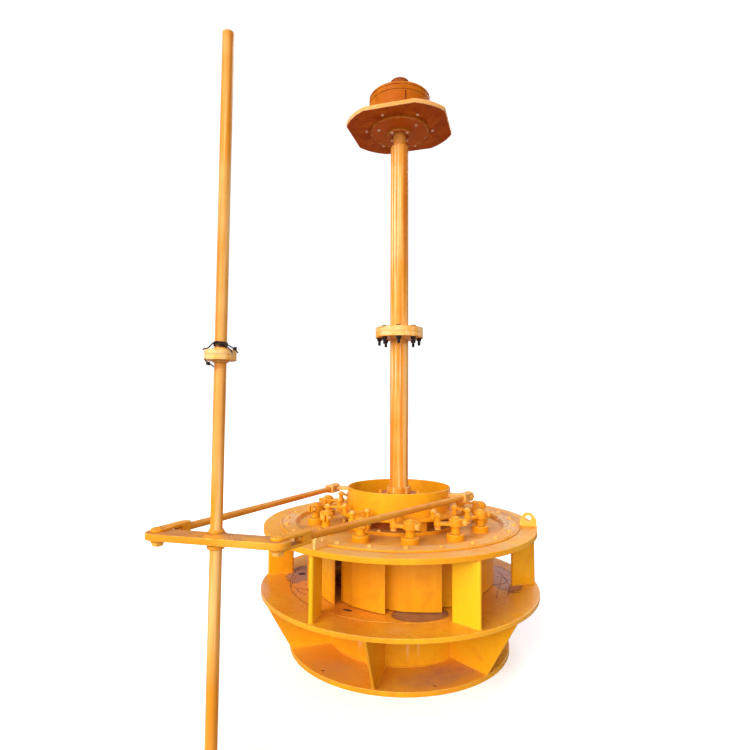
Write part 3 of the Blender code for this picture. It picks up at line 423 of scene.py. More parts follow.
toneLook = {"clouds": (2.3, 2.0), "cloudRange": (0.36, 0.66), "mottle": (9.0, 5.0, 0.6),
            "mottleRange": (0.50, 0.72), "deepShare": 0.55, "streakShape": (34.0, 34.0, 0.8),
            "streaks": (1.0, 3.0, 0.5), "paleStreaks": (0.52, 0.62), "deepStreaks": (0.38, 0.48, 0.8, 0.0),
            "peel": (190.0, 2.0, 0.5), "peelShare": 0.25, "runShape": (26.0, 26.0, 5.0), "runs": (1.0, 2.0)}


def makeToneGroup():
    # Sprayed paint by hand: broad pale and deep clouds, upright streaks and a fine orange-peel height
    group, (paint, pale, deep, clouds, streaks), out = newGroup("paintTones", [
        ("Paint", "Color", None), ("Pale", "Color", None), ("Deep", "Color", None), ("Clouds", "Float", 1.0),
        ("Streaks", "Float", 0.3)], [("Color", "Color"), ("Mottle", "Float"), ("Height", "Float")])
    place = placeIn(group)
    broad = remap(group, noiseAt(group, place, *toneLook["clouds"]), *toneLook["cloudRange"])
    mottle = noiseAt(group, place, *toneLook["mottle"])
    tone = mixed(group, times(group, broad, clouds), paint, pale)
    deepShare = times(group, remap(group, mottle, *toneLook["mottleRange"]), toneLook["deepShare"])
    tone = mixed(group, times(group, deepShare, clouds), tone, deep)
    streak = noiseAt(group, stretched(group, place, toneLook["streakShape"]), *toneLook["streaks"])
    paleStreak = times(group, remap(group, streak, *toneLook["paleStreaks"]), streaks)
    deepStreak = times(group, remap(group, streak, *toneLook["deepStreaks"]), streaks)
    tone = mixed(group, paleStreak, tone, pale)
    tone = mixed(group, deepStreak, tone, deep)
    peel = noiseAt(group, place, *toneLook["peel"])
    runs = noiseAt(group, stretched(group, place, toneLook["runShape"]), *toneLook["runs"])
    height = plus(group, times(group, peel, toneLook["peelShare"]), runs)
    plug(group, out, {"Color": tone, "Mottle": mottle, "Height": height})
    return group


dustLook = {"facing": (0.55, 0.96), "drift": (5.5, 6.0, 0.62), "driftRange": (0.36, 0.70, 0.25, 1.0),
            "grains": 62.0, "grainRange": (0.16, 0.27, 1.0, 0.0), "crowd": (7.0, 3.0),
            "crowdRange": (0.50, 0.68)}


def makeDustGroup():
    # Dust that lies on what faces up, broken by noise, with pale grains in it
    group, (amount,), out = newGroup("settledDust", [("Amount", "Float", 0.4)],
                                     [("Dust", "Float"), ("Grains", "Float")])
    place = placeIn(group)
    flat = remap(group, upwardIn(group), *dustLook["facing"])
    drift = remap(group, noiseAt(group, place, *dustLook["drift"]), *dustLook["driftRange"])
    settled = times(group, flat, amount)
    cells = addNode(group, "ShaderNodeTexVoronoi", {"Vector": place, "Scale": dustLook["grains"]})
    grain = remap(group, cells.outputs["Distance"], *dustLook["grainRange"])
    crowd = remap(group, noiseAt(group, place, *dustLook["crowd"]), *dustLook["crowdRange"])
    plug(group, out, {"Dust": times(group, settled, drift),
                      "Grains": times(group, times(group, grain, crowd), settled)})
    return group


edgeLook = {"chips": (28.0, 5.0, 0.65), "chipRange": (0.40, 0.60), "worn": (0.35, 1.0), "inner": (0.05, 0.8),
            "grimeShadeNoise": (11.0, 4.0), "grimeShadeNoiseRange": (0.30, 0.62, 0.35, 1.0)}


def makeEdgeGroup():
    # Wear on outer corners, and grime with painted shade in inner ones, from each piece's own sharpness,
    # broken by noise
    group, (wear, grimeShade), out = newGroup("wornEdgesShadedCorners", [("Wear", "Float", 0.5), ("GrimeShade", "Float", 0.5)],
                                         [("Worn", "Float"), ("GrimyShaded", "Float")])
    place = placeIn(group)
    sharp = addNode(group, "ShaderNodeAttribute", attribute_name="sharpness").outputs["Fac"]
    chips = remap(group, noiseAt(group, place, *edgeLook["chips"]), *edgeLook["chipRange"])
    worn = times(group, remap(group, sharp, *edgeLook["worn"]), chips)
    inner = remap(group, times(group, sharp, -1.0), *edgeLook["inner"])
    grimeShadeNoise = remap(group, noiseAt(group, place, *edgeLook["grimeShadeNoise"]), *edgeLook["grimeShadeNoiseRange"])
    plug(group, out, {"Worn": times(group, worn, wear),
                      "GrimyShaded": times(group, times(group, inner, grimeShadeNoise), grimeShade)})
    return group


patchLook = {"noise": (13.0, 5.0, 0.6), "push": 4.0, "inside": 0.94, "edge": 1.02,
             "outer": (1.01, 1.12, 1.0, 0.0), "inner": (0.93, 1.00), "rimTone": (0.16, 0.05, 0.03, 1.0),
             "bareRange": (0.35, 0.68), "depth": 0.7}


def makePatchGroup():
    # A torn patch: inside where the mapped point's length is below one, with an edge that noise pushes about.
    # A soft one fades over the given share of its size
    group, (vector, ragged, soft), out = newGroup("tornPatch", [
        ("Vector", "Vector", None), ("Ragged", "Float", 0.35), ("Soft", "Float", 0.0)],
        [("Patch", "Float"), ("Rim", "Float")])
    noise = noiseAt(group, placeIn(group), *patchLook["noise"])
    push = times(group, maths(group, "SUBTRACT", noise, 0.5), ragged)
    length = addNode(group, "ShaderNodeVectorMath", {0: vector}, operation="LENGTH").outputs["Value"]
    away = plus(group, length, times(group, push, patchLook["push"]))
    full = maths(group, "SUBTRACT", patchLook["inside"], soft)
    outside = remap(group, away, *patchLook["outer"])
    within = remap(group, away, *patchLook["inner"])
    plug(group, out, {"Patch": remap(group, away, full, patchLook["edge"], 1.0, 0.0),
                      "Rim": times(group, outside, within)})
    return group


toneGroup, dustGroup = makeToneGroup(), makeDustGroup()
edgeGroup, patchGroup = makeEdgeGroup(), makePatchGroup()


# Paints

def newMaterial(name):
    material = bpy.data.materials.new(name)
    material.use_nodes = True
    return material, material.node_tree, material.node_tree.nodes["Principled BSDF"]


# The underside tone, with its share under, is painted shade on what faces down
orange = {"paint": (0.810, 0.310, 0.007), "pale": (0.890, 0.420, 0.009), "deep": (0.690, 0.200, 0.006),
          "clouds": 0.8, "streaks": 0.07, "dust": 0.10, "dustTone": (0.62, 0.33, 0.14), "wear": 0.5,
          "wearTone": (0.92, 0.52, 0.08), "grimeShade": 0.65, "grimeShadeTone": (0.20, 0.040, 0.010),
          "undersideShadeTone": (0.42, 0.085, 0.008), "under": 0.30, "rough": 0.30, "gloss": 0.22, "bump": 0.22,
          "patches": ()}
finish = {"tones": ("paint", "pale", "deep", "dustTone", "wearTone", "grimeShadeTone", "undersideShadeTone"),
          "underside": (-0.9, -0.3), "mottle": (0.30, 0.75), "smoother": 0.05, "rougher": 0.12,
          "dustRough": 0.35, "grainTone": (0.90, 0.66, 0.42, 1.0), "relief": 0.002}


def paintMaterial(name, **changes):
    # Tones first, then painted shade on the underside, grime with painted shade in inner corners, worn edges,
    # dust, patches and grains
    look = {**orange, **changes}
    material, tree, shader = newMaterial(name)
    rgb = {key: (*look[key], 1.0) for key in finish["tones"]}
    tones = addNode(tree, "ShaderNodeGroup", {
        "Paint": rgb["paint"], "Pale": rgb["pale"], "Deep": rgb["deep"], "Clouds": look["clouds"],
        "Streaks": look["streaks"]}, node_tree=toneGroup).outputs
    dust = addNode(tree, "ShaderNodeGroup", {"Amount": look["dust"]}, node_tree=dustGroup).outputs
    edges = addNode(tree, "ShaderNodeGroup", {"Wear": look["wear"], "GrimeShade": look["grimeShade"]},
                    node_tree=edgeGroup).outputs
    # Painted shade: surfaces that face down take the darker underside tone
    below = remap(tree, upwardIn(tree), *finish["underside"], look["under"], 0.0)
    colour = mixed(tree, below, tones["Color"], rgb["undersideShadeTone"])
    # Grime with painted shade in inner corners
    colour = mixed(tree, edges["GrimyShaded"], colour, rgb["grimeShadeTone"])
    colour = mixed(tree, edges["Worn"], colour, rgb["wearTone"])
    colour = mixed(tree, dust["Dust"], colour, rgb["dustTone"])
    rough = remap(tree, tones["Mottle"], *finish["mottle"], look["rough"] - finish["smoother"],
                  look["rough"] + finish["rougher"])
    rough = plus(tree, rough, times(tree, dust["Dust"], finish["dustRough"]))
    height, place = tones["Height"], placeIn(tree)
    for patch in look["patches"]:
        colour, rough, height = addPatch(tree, place, patch, colour, rough, height)
    colour = mixed(tree, dust["Grains"], colour, finish["grainTone"])
    bump = addNode(tree, "ShaderNodeBump", {"Height": height, "Strength": look["bump"],
                                            "Distance": finish["relief"]}).outputs["Normal"]
    plug(tree, shader, {"Base Color": colour, "Roughness": rough, "Normal": bump,
                        "Specular IOR Level": look["gloss"]})
    return material


def addPatch(tree, place, patch, colour, rough, height):
    # The mapped point is (p - centre) turned to the patch's own axes and divided by its half sizes
    local = stretched(tree, place, place=[-value for value in patch["centre"]])
    local = stretched(tree, local, turn=(0.0, 0.0, -math.radians(patch["turn"])))
    local = stretched(tree, local, [1 / half for half in patch["halves"]])
    torn = addNode(tree, "ShaderNodeGroup", {
        "Vector": local, "Ragged": patch["ragged"], "Soft": patch["soft"]}, node_tree=patchGroup).outputs
    spotted = remap(tree, noiseAt(tree, place, patch["grain"], 5.0, 0.65), *patchLook["bareRange"])
    bare = mixed(tree, spotted, (*patch["tone"], 1.0), (*patch["second"], 1.0))
    share = times(tree, torn["Patch"], patch["strength"])
    colour = mixed(tree, times(tree, torn["Rim"], patch["rim"]), colour, patchLook["rimTone"])
    colour = mixed(tree, share, colour, bare)
    rough = plus(tree, rough, times(tree, share, patch["matt"]))
    height = maths(tree, "SUBTRACT", height, times(tree, share, patchLook["depth"]))
    return colour, rough, height


ironLook = {"spots": (0.38, 0.64), "roughRange": (0.3, 0.7), "smoother": 0.08, "rougher": 0.12, "bump": 0.35,
            "relief": 0.001, "gloss": 0.2}


def plainMaterial(name, tone, second, rough, grain=60.0):
    # Black iron: two tones mixed by noise, with a pitted surface
    material, tree, shader = newMaterial(name)
    spotted = noiseAt(tree, placeIn(tree), grain, 5.0, 0.6)
    colour = mixed(tree, remap(tree, spotted, *ironLook["spots"]), (*tone, 1.0), (*second, 1.0))
    roughness = remap(tree, spotted, *ironLook["roughRange"], rough - ironLook["smoother"],
                      rough + ironLook["rougher"])
    bump = addNode(tree, "ShaderNodeBump", {"Height": spotted, "Strength": ironLook["bump"],
                                            "Distance": ironLook["relief"]}).outputs["Normal"]
    plug(tree, shader, {"Base Color": colour, "Roughness": roughness, "Normal": bump,
                        "Specular IOR Level": ironLook["gloss"]})
    return material


def patchAt(angle, radius, halves, level=lowerRingTop, **changes):
    # A patch on a flat top, given by its angle from the front, its radius and the top's level
    centre = spots(radius, angle, level)[0] + turbineAxis
    look = {"centre": tuple(centre), "halves": (*halves, 0.03), "turn": angle, "ragged": 0.35,
            "grain": 22.0, "tone": (0.34, 0.21, 0.13), "second": (0.20, 0.12, 0.08), "strength": 0.95,
            "rim": 0.8, "matt": 0.25, "soft": 0.0}
    return {**look, **changes}


def bandAt(place, height, halves, **changes):
    # A patch that wraps a shaft, or stands on a round wall, at one height
    look = {"centre": (place[0], place[1], height), "halves": halves, "turn": 0.0, "ragged": 0.10,
            "grain": 20.0, "tone": (0.90, 0.42, 0.06), "second": (0.96, 0.66, 0.34), "strength": 0.75,
            "rim": 0.0, "matt": 0.1, "soft": 0.0}
    return {**look, **changes}


hazy = {"rim": 0.0, "soft": 0.8}
blackSpotTones = {"tone": (0.05, 0.025, 0.02)}
ringPatches = (
    patchAt(24.0, 0.560, (0.380, 0.150), level=0.026, ragged=0.20, tone=(0.44, 0.20, 0.12),
            second=(0.62, 0.27, 0.10), strength=0.75, **hazy),
    patchAt(-38.0, 0.575, (0.240, 0.130), level=0.026, ragged=0.20, tone=(0.52, 0.24, 0.11),
            second=(0.70, 0.28, 0.05), strength=0.55, **hazy),
    patchAt(8.5, 0.575, (0.146, 0.092), ragged=0.06, tone=(0.35, 0.17, 0.08), second=(0.25, 0.105, 0.05),
            rim=0.9),
    # A dark spot at the foot of a guide vane: painted shadow
    patchAt(-30.0, 0.600, (0.030, 0.016), second=(0.10, 0.04, 0.02), **blackSpotTones),
    patchAt(92.0, 0.655, (0.250, 0.100), ragged=0.20, tone=(0.52, 0.25, 0.18), second=(0.38, 0.165, 0.125),
            strength=0.85),
    patchAt(88.0, 0.560, (0.085, 0.125), ragged=0.10, strength=0.0, rim=1.0),
    patchAt(-97.0, 0.640, (0.150, 0.075), tone=(0.42, 0.24, 0.19), second=(0.30, 0.17, 0.15), strength=0.8),
    patchAt(-97.0, 0.632, (0.028, 0.024), second=(0.03, 0.02, 0.02), **blackSpotTones),
    # A pale pink band along the ring's outer edge on the left: painted highlight
    patchAt(-76.0, 0.845, (0.260, 0.050), ragged=0.1, tone=(0.94, 0.58, 0.36), second=(0.88, 0.44, 0.20),
            strength=0.55, **hazy),
    patchAt(-3.0, 0.770, (0.120, 0.060), ragged=0.3, tone=(0.90, 0.50, 0.24), second=(0.82, 0.34, 0.06),
            strength=0.35, **hazy),
)

filmTones = {"tone": (0.42, 0.19, 0.14), "second": (0.62, 0.27, 0.10), "rim": 0.0, "matt": 0.15,
             "ragged": 0.20, "soft": 0.7, "level": coverTop}
speckTones = {**filmTones, "tone": (0.44, 0.16, 0.05), "second": (1.0, 0.80, 0.54), "grain": 70.0,
              "soft": 0.5}
coverPatches = (
    patchAt(74.0, 0.590, (0.300, 0.130), strength=0.75, **filmTones),
    patchAt(84.0, 0.670, (0.360, 0.090), strength=0.80, **speckTones),
    patchAt(104.0, 0.745, (0.240, 0.060), strength=0.60, **filmTones),
    patchAt(14.0, 0.640, (0.140, 0.080), strength=0.30, **filmTones),
    patchAt(-62.0, 0.620, (0.260, 0.100), strength=0.35, **filmTones),
    patchAt(-88.0, 0.690, (0.240, 0.080), strength=0.55, **speckTones),
)

glare = {"tone": (0.98, 0.66, 0.36), "second": (0.90, 0.42, 0.04), "strength": 0.55, "soft": 0.8}
glareRadius = 0.430
glareSpots = ((4.0, 0.170, (0.014, 0.030, 0.130)), (-33.0, 0.180, (0.020, 0.030, 0.130)),
              (12.0, 0.150, (0.010, 0.030, 0.090)))
bodyPatches = tuple(bandAt(spots(glareRadius, angle)[0] + turbineAxis, height, halves, **glare)
                    for angle, height, halves in glareSpots)

# On the shaft's left side the pale and dark runs are painted reflections; the deep run on its right side is
# painted shade
stripes = {"radius": 0.059, "depth": 0.030, "height": (2.78, 0.74), "lowHeight": (1.70, 0.24),
           "pale": {"tone": (1.00, 0.86, 0.58), "second": (0.98, 0.70, 0.34), "strength": 0.80},
           "dark": {"tone": (0.16, 0.08, 0.04), "second": (0.32, 0.12, 0.03), "strength": 0.85},
           "deep": {"tone": (0.60, 0.145, 0.004), "second": (0.50, 0.11, 0.004), "strength": 0.80},
           "runs": ((-55.0, 0.0040, "pale"), (-44.0, 0.0026, "dark"), (-33.0, 0.0042, "pale"),
                    (-21.0, 0.0028, "dark"), (-12.0, 0.0032, "pale"), (38.0, 0.0260, "deep")),
           "lowRuns": ((-48.0, 0.0034, "pale"), (-36.0, 0.0022, "dark"), (-24.0, 0.0034, "pale"),
                       (-10.0, 0.0022, "dark"), (4.0, 0.0028, "pale"))}


def stripesDown(runs, height):
    # Upright streaks: narrow patches on the shaft's side, each turned to face outwards. The pale and dark
    # ones are painted reflections and the deep one is painted shade
    middle, half = height
    return tuple(bandAt(spots(stripes["radius"], angle)[0] + turbineAxis, middle,
                        (width, stripes["depth"], half), turn=angle, ragged=0.05, soft=0.7, **stripes[tone])
                 for angle, width, tone in runs)


neckTones = {"tone": (0.58, 0.17, 0.02), "second": (0.76, 0.32, 0.06)}
shaftPatches = (
    bandAt(turbineAxis, 1.940, (0.240, 0.240, 0.037), grain=14.0),
    bandAt(turbineAxis, 1.885, (0.090, 0.090, 0.022), strength=0.8, **neckTones),
    bandAt(turbineAxis, 3.250, (0.070, 0.070, 0.050), strength=0.8, **neckTones),
    bandAt(governorAxis, 1.661, (0.110, 0.110, 0.023), grain=26.0),
    bandAt(governorAxis, 1.622, (0.050, 0.050, 0.018), strength=0.7, **neckTones),
    *stripesDown(stripes["runs"], stripes["height"]),
    *stripesDown(stripes["lowRuns"], stripes["lowHeight"]),
)
# A darker band over the plate's underside and the foot of its rim: painted shade
plateUndersideShade = (
    bandAt(turbineAxis, 3.316, (0.420, 0.420, 0.008), tone=(0.37, 0.055, 0.003), second=(0.64, 0.150, 0.010),
           grain=13.0, strength=0.70, soft=0.3),
)

paintChanges = {
    "body": {"patches": bodyPatches},
    "cover": {"dust": 0.72, "dustTone": (0.70, 0.39, 0.15), "rough": 0.42, "patches": coverPatches},
    "ring": {"dust": 0.28, "dustTone": (0.60, 0.27, 0.08), "paint": (0.80, 0.28, 0.010), "rough": 0.24,
             "gloss": 0.35, "wear": 0.9, "patches": ringPatches},
    "vane": {"paint": (0.800, 0.300, 0.007), "clouds": 0.9, "streaks": 0.12, "rough": 0.38},
    # A lighter copy of the paint, painted light, for the two front stay vanes
    "paintedLight": {"paint": (0.90, 0.48, 0.010), "pale": (0.93, 0.54, 0.012), "deep": (0.84, 0.40, 0.010),
               "rough": 0.34},
    "lever": {"paint": (0.80, 0.30, 0.012), "dust": 0.20, "wear": 0.7, "grimeShade": 0.8, "rough": 0.40},
    "shaft": {"paint": (0.78, 0.28, 0.020), "pale": (0.92, 0.55, 0.20), "deep": (0.60, 0.17, 0.015),
              "streaks": 0.75, "clouds": 0.40, "rough": 0.38, "gloss": 0.14, "patches": shaftPatches},
    "housing": {"paint": (0.44, 0.100, 0.003), "pale": (0.60, 0.17, 0.006), "deep": (0.27, 0.050, 0.003),
                "dust": 0.10, "wear": 0.8, "wearTone": (0.80, 0.36, 0.06), "clouds": 1.0, "streaks": 0.08,
                "gloss": 0.06, "rough": 0.5},
    "dusty": {"paint": (0.72, 0.33, 0.05), "pale": (0.84, 0.50, 0.16), "dust": 0.9,
              "dustTone": (0.76, 0.50, 0.28), "rough": 0.5, "gloss": 0.12},
    "crossBar": {"paint": (0.74, 0.27, 0.015), "pale": (0.86, 0.40, 0.04), "dust": 0.80,
                 "dustTone": (0.38, 0.17, 0.11), "wear": 0.8, "rough": 0.45, "gloss": 0.10},
    "rod": {"paint": (0.70, 0.23, 0.014), "deep": (0.46, 0.12, 0.016), "pale": (0.80, 0.34, 0.04),
            "dust": 0.22, "rough": 0.48, "gloss": 0.10},
    # The bearing plate takes the whole underside tone: painted shade on its underside
    "plate": {"paint": (0.72, 0.33, 0.080), "pale": (0.86, 0.54, 0.25), "under": 1.0,
              "undersideShadeTone": (0.47, 0.062, 0.004), "wear": 0.9, "wearTone": (0.92, 0.60, 0.32), "dust": 0.35,
              "rough": 0.5, "gloss": 0.04, "patches": plateUndersideShade},
    # Dark paint for the bearing's lower cover under the plate, with most of the underside tone: painted shade
    "disc": {"paint": (0.54, 0.14, 0.008), "pale": (0.64, 0.20, 0.012), "deep": (0.42, 0.09, 0.008),
             "under": 0.8, "undersideShadeTone": (0.54, 0.085, 0.005), "wear": 1.0, "wearTone": (0.86, 0.44, 0.20),
             "rough": 0.45, "gloss": 0.06},
    # Dark paint for the support's wall and the seal housing inside the regulating ring: painted shade
    "inside": {"paint": (0.42, 0.09, 0.012), "pale": (0.56, 0.15, 0.014), "deep": (0.26, 0.05, 0.012),
               "streaks": 0.4, "rough": 0.5},
    "bolt": {"paint": (0.86, 0.42, 0.055), "pale": (0.92, 0.56, 0.20), "wear": 0.8, "dust": 0.25,
             "rough": 0.45},
    # A pale paint for the nuts under the bearing's lower cover, a painted highlight, without the painted
    # underside shade
    "nut": {"paint": (0.84, 0.50, 0.32), "pale": (0.92, 0.66, 0.50), "deep": (0.66, 0.28, 0.12),
            "under": 0.0, "clouds": 0.5, "rough": 0.4},
    "weld": {"paint": (0.80, 0.30, 0.018), "deep": (0.55, 0.15, 0.012), "rough": 0.40, "grimeShade": 0.2},
    "oxide": {"paint": (0.20, 0.040, 0.010), "pale": (0.32, 0.075, 0.014), "deep": (0.08, 0.015, 0.008),
              "wearTone": (0.42, 0.13, 0.03), "rough": 0.5, "gloss": 0.06},
}
materialNames = {"ring": "lowerRingPaint", "plate": "bearingPaint"}
paints = {key: paintMaterial(materialNames.get(key, key + "Paint"), **changes)
          for key, changes in paintChanges.items()}
paints["black"] = plainMaterial("blackIron", (0.006, 0.005, 0.007), (0.030, 0.016, 0.012), 0.5)
paints["wire"] = plainMaterial("bindingWire", (0.006, 0.005, 0.006), (0.040, 0.018, 0.012), 0.5, 180.0)
print("materials made:", len(bpy.data.materials))


# Pieces: shells with their paints become one object that rides on its body

def addObject(name, data):
    obj = bpy.data.objects.new(name, data)
    bpy.context.scene.collection.objects.link(obj)
    return obj


def makePiece(name, shells, body, stands=(), cutters=None, place=turbineAxis, crease=34.0):
    # One object from several shells with their paints. Doubles are merged and faces turned outwards
    points, faces, sharp = joined(*[shell for shell, _ in shells])
    names = list(dict.fromkeys(paint for _, paint in shells))
    mesh = bpy.data.meshes.new(name)
    mesh.from_pydata((points + place).tolist(), [], faces.tolist())
    mesh.polygons.foreach_set("material_index", np.concatenate(
        [np.full(len(shell[1]), names.index(paint), np.int32) for shell, paint in shells]))
    mesh.attributes.new("sharpness", "FLOAT", "POINT").data.foreach_set("value", sharp.astype(np.float32))
    cleanMesh(mesh)
    for paint in names:
        mesh.materials.append(paints[paint])
    obj = addObject(name, mesh)
    if cutters is not None:
        cutAway(obj, cutters, place)
    obj.data.shade_smooth()
    obj.data.set_sharp_from_angle(angle=math.radians(crease))
    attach(obj, body)
    if stands:
        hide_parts(*stands)


def cleanMesh(mesh):
    bm = bmesh.new()
    bm.from_mesh(mesh)
    bmesh.ops.remove_doubles(bm, verts=bm.verts, dist=1e-6)
    bmesh.ops.recalc_face_normals(bm, faces=bm.faces)
    bm.to_mesh(mesh)
    bm.free()


def cutAway(obj, cutters, place):
    # Cuts the shells out of the piece and keeps the result as its mesh
    points, faces, _ = joined(*cutters)
    mesh = bpy.data.meshes.new(obj.name + "Cutter")
    mesh.from_pydata((points + place).tolist(), [], faces.tolist())
    cleanMesh(mesh)
    cutter = addObject(mesh.name, mesh)
    modifier = obj.modifiers.new("cut", "BOOLEAN")
    modifier.operation, modifier.object, modifier.solver = "DIFFERENCE", cutter, "EXACT"
    bpy.context.view_layer.update()
    finished = bpy.data.meshes.new_from_object(obj.evaluated_get(bpy.context.evaluated_depsgraph_get()))
    obj.modifiers.clear()
    obj.data = finished
    bpy.data.objects.remove(cutter, do_unlink=True)


# Distributor: throat ring with its ribs, flanges and stay vanes

throat = {"bore": 0.402, "wall": 0.028, "ribs": (-72.0, -13.5, 42.5, 104.0, 165.5, 226.5),
          "ribThickness": 0.014, "ribTop": 0.860, "ribMiddle": (0.56, 0.18), "ribEdge": 0.0018,
          "flangeRadius": 0.680, "flangeTop": 0.026, "holeCircle": 0.635, "holeRadius": 0.010,
          "drill": (-0.02, 0.05), "shadePlugLow": 0.001, "shadePlugDown": 0.003, "shadePlugEdge": 0.0015,
          "weld": 0.0048, "lowWeldShort": 0.008, "highWeldShort": 0.010}
rings = {"outer": 0.860, "split": 0.683, "low": 0.340, "upperOuter": 0.850, "upperBore": 0.690,
         "upperLow": 0.702, "seam": 0.0008, "edge": 0.003, "innerEdge": 0.002}
stayVane = {"count": 6, "outer": (0.850, 25.8), "inner": (0.700, 20.5), "thickness": 0.025, "band": 0.002,
            "weld": 0.0042, "pale": (0, 5)}
lug = {"angles": (-33.0, 78.0, 202.5), "circle": 0.800, "width": 0.098, "height": 0.084, "crown": 0.038,
       "shoulder": 0.038, "thickness": 0.016, "eye": 0.018, "eyeHeight": 0.050, "weld": 0.0045,
       "edge": 0.0022, "corners": (0.002, 0.01, 0.002, 0.012, 0.012, 0.01, 0.012, 0.012), "cornerSteps": 5}


def ribShell():
    # The rib's outline lies in the upright plane through the axis: x is the radius and y the height
    low, high = throat["flangeTop"] + touch, rings["low"] - touch
    root = throat["bore"] + throat["wall"] / 2
    outline, _ = cornered([(root, low), (throat["flangeRadius"] - lap, low), (throat["ribTop"] - lap, high),
                           (root, high)])
    core = np.broadcast_to(throat["ribMiddle"], outline.shape)
    half = throat["ribThickness"] / 2
    return moved(plateShell(outline, core, -half, half, throat["ribEdge"]), turn=standing)


def ribWelds(angle, seed):
    # Beads along both sides of a rib: up the throat, out along the flange and out under the ring
    outer = throat["bore"] + throat["wall"]
    low, high = throat["flangeTop"] + lap, rings["low"] - lap
    runs = (((outer + lap, low), (outer + lap, high)),
            ((outer, low), (throat["flangeRadius"] - throat["lowWeldShort"], low)),
            ((outer, high), (throat["ribTop"] - throat["highWeldShort"], high)))
    way, across = spots(1.0, angle)[0], spots(1.0, angle + 90.0)[0]
    beads = []
    for side in (-1, 1):
        shift = across * side * (throat["ribThickness"] / 2)
        beads += [weldShell(np.array([way * radius + [0, 0, height] for radius, height in run]) + shift,
                            throat["weld"], seed=seed + step) for step, run in enumerate(runs)]
    return joined(*beads)


def makeThroat():
    inner, outer = throat["bore"], throat["bore"] + throat["wall"]
    low, high = throat["flangeTop"] + touch, rings["low"] - touch
    angles = np.array(throat["ribs"])
    ribs = copied(ribShell(), np.zeros((len(angles), 3)), angles - 90.0)
    welds = [ribWelds(angle, 10 * step) for step, angle in enumerate(angles)]
    welds += [weldShell(circlePath(outer + lap, height), throat["weld"], True, seed)
              for height, seed in ((low + lap, 3), (high - lap, 4))]
    makePiece("throatRing", [(ringShell(inner, outer, low, high, steps=wideSteps), "body"), (ribs, "body"),
                             (joined(*welds), "weld")], "root", ["throat_ring"])
    flange = ringShell(inner, throat["flangeRadius"], 0.0, throat["flangeTop"], steps=wideSteps)
    between = (angles + np.append(angles[1:], angles[0] + 360.0)) / 2
    places = spots(throat["holeCircle"], between)
    holes = copied(barrel(throat["holeRadius"], *throat["drill"], 0.0), places)
    makePiece("bottomFlange", [(flange, "ring")], "root", ["bottom_flange"], cutters=[holes])
    # Dark plugs in the flange's bolt holes: painted shade in the holes
    shadePlugs = barrel(throat["holeRadius"] - touch, throat["shadePlugLow"], throat["flangeTop"] - throat["shadePlugDown"],
                  throat["shadePlugEdge"])
    makePiece("holeShadePlugs", [(copied(shadePlugs, places), "oxide")], "root")


def makeLowerRings():
    inner = ringShell(throat["bore"], rings["split"] - rings["seam"], rings["low"], lowerRingTop,
                      rings["innerEdge"], wideSteps)
    outer = ringShell(rings["split"], rings["outer"], rings["low"], lowerRingTop, rings["edge"], wideSteps)
    makePiece("bottomRing", [(inner, "ring")], "root", ["bottom_ring"])
    makePiece("lowerStayRing", [(outer, "ring")], "root", ["lower_stay_ring"])


def makeStayVanes():
    low, high = lowerRingTop + touch, rings["upperLow"] - touch
    outer, inner = spots(*stayVane["outer"])[0], spots(*stayVane["inner"])[0]
    half = stayVane["thickness"] / 2
    way = unit(outer - inner)
    outline, core = barOutline(np.linalg.norm(outer - inner) - 2 * half, half, half)
    place, heading = inner + way * half, turnZ(headingOf(way))
    leaf = moved(plateShell(outline, core, low, high, band=stayVane["band"]), place, heading)
    seam = np.concatenate([outline, np.zeros((len(outline), 1))], 1) @ heading.T + place
    loop = np.concatenate([seam, seam[:1]])
    welds = joined(*[weldShell(loop + [0, 0, level], stayVane["weld"], seed=seed)
                     for level, seed in ((low + lap, 21), (high - lap, 22))])
    for step in range(stayVane["count"]):
        turn = turnZ(step * 360.0 / stayVane["count"])
        # The two front stay vanes take the lighter copy of the paint: painted light
        paint = "paintedLight" if step in stayVane["pale"] else "body"
        makePiece(f"stayVane{step + 1}", [(moved(leaf, turn=turn), paint), (moved(welds, turn=turn), "weld")],
                  "root", [f"stay_vane_{step + 1}"])


cracks = {"size": 0.0019, "sunk": 0.0006, "sides": 6, "runs": (
    [(-100.0, 0.684), (-92.0, 0.6845), (-84.0, 0.6835), (-76.0, 0.684), (-68.0, 0.683), (-60.0, 0.684),
     (-52.0, 0.6835), (-44.0, 0.684)],
    [(-93.4, 0.662), (-86.0, 0.668), (-80.0, 0.672), (-76.0, 0.684)],
    [(-76.0, 0.684), (-74.3, 0.661), (-71.6, 0.627), (-67.8, 0.584)],
    [(-72.5, 0.655), (-68.5, 0.650), (-65.0, 0.640), (-62.0, 0.628)],
    [(-49.6, 0.684), (-49.2, 0.668), (-48.0, 0.659), (-46.5, 0.672), (-46.0, 0.684)],
    [(66.0, 0.684), (74.0, 0.6835), (82.0, 0.684), (92.0, 0.683), (104.0, 0.684)],
    [(58.0, 0.640), (68.0, 0.622), (78.0, 0.628), (88.0, 0.650), (96.0, 0.684)])}


def makeCracks():
    # Dark lines where the paint has split: thin tubes that lie half sunk in the ring's top
    shells = []
    for run in cracks["runs"]:
        angles, radii = np.array(run).T
        path = smoothPath(spots(radii, angles, lowerRingTop - cracks["sunk"]))
        shells.append(tubeShell(path, cracks["size"], cracks["sides"], guide=upwards))
    makePiece("ringCracks", [(joined(*shells), "oxide")], "root")


def makeUpperRing():
    shell = ringShell(rings["upperBore"], rings["upperOuter"], rings["upperLow"], coverTop, rings["edge"],
                      wideSteps)
    makePiece("upperStayRing", [(shell, "cover")], "root", ["upper_stay_ring"])


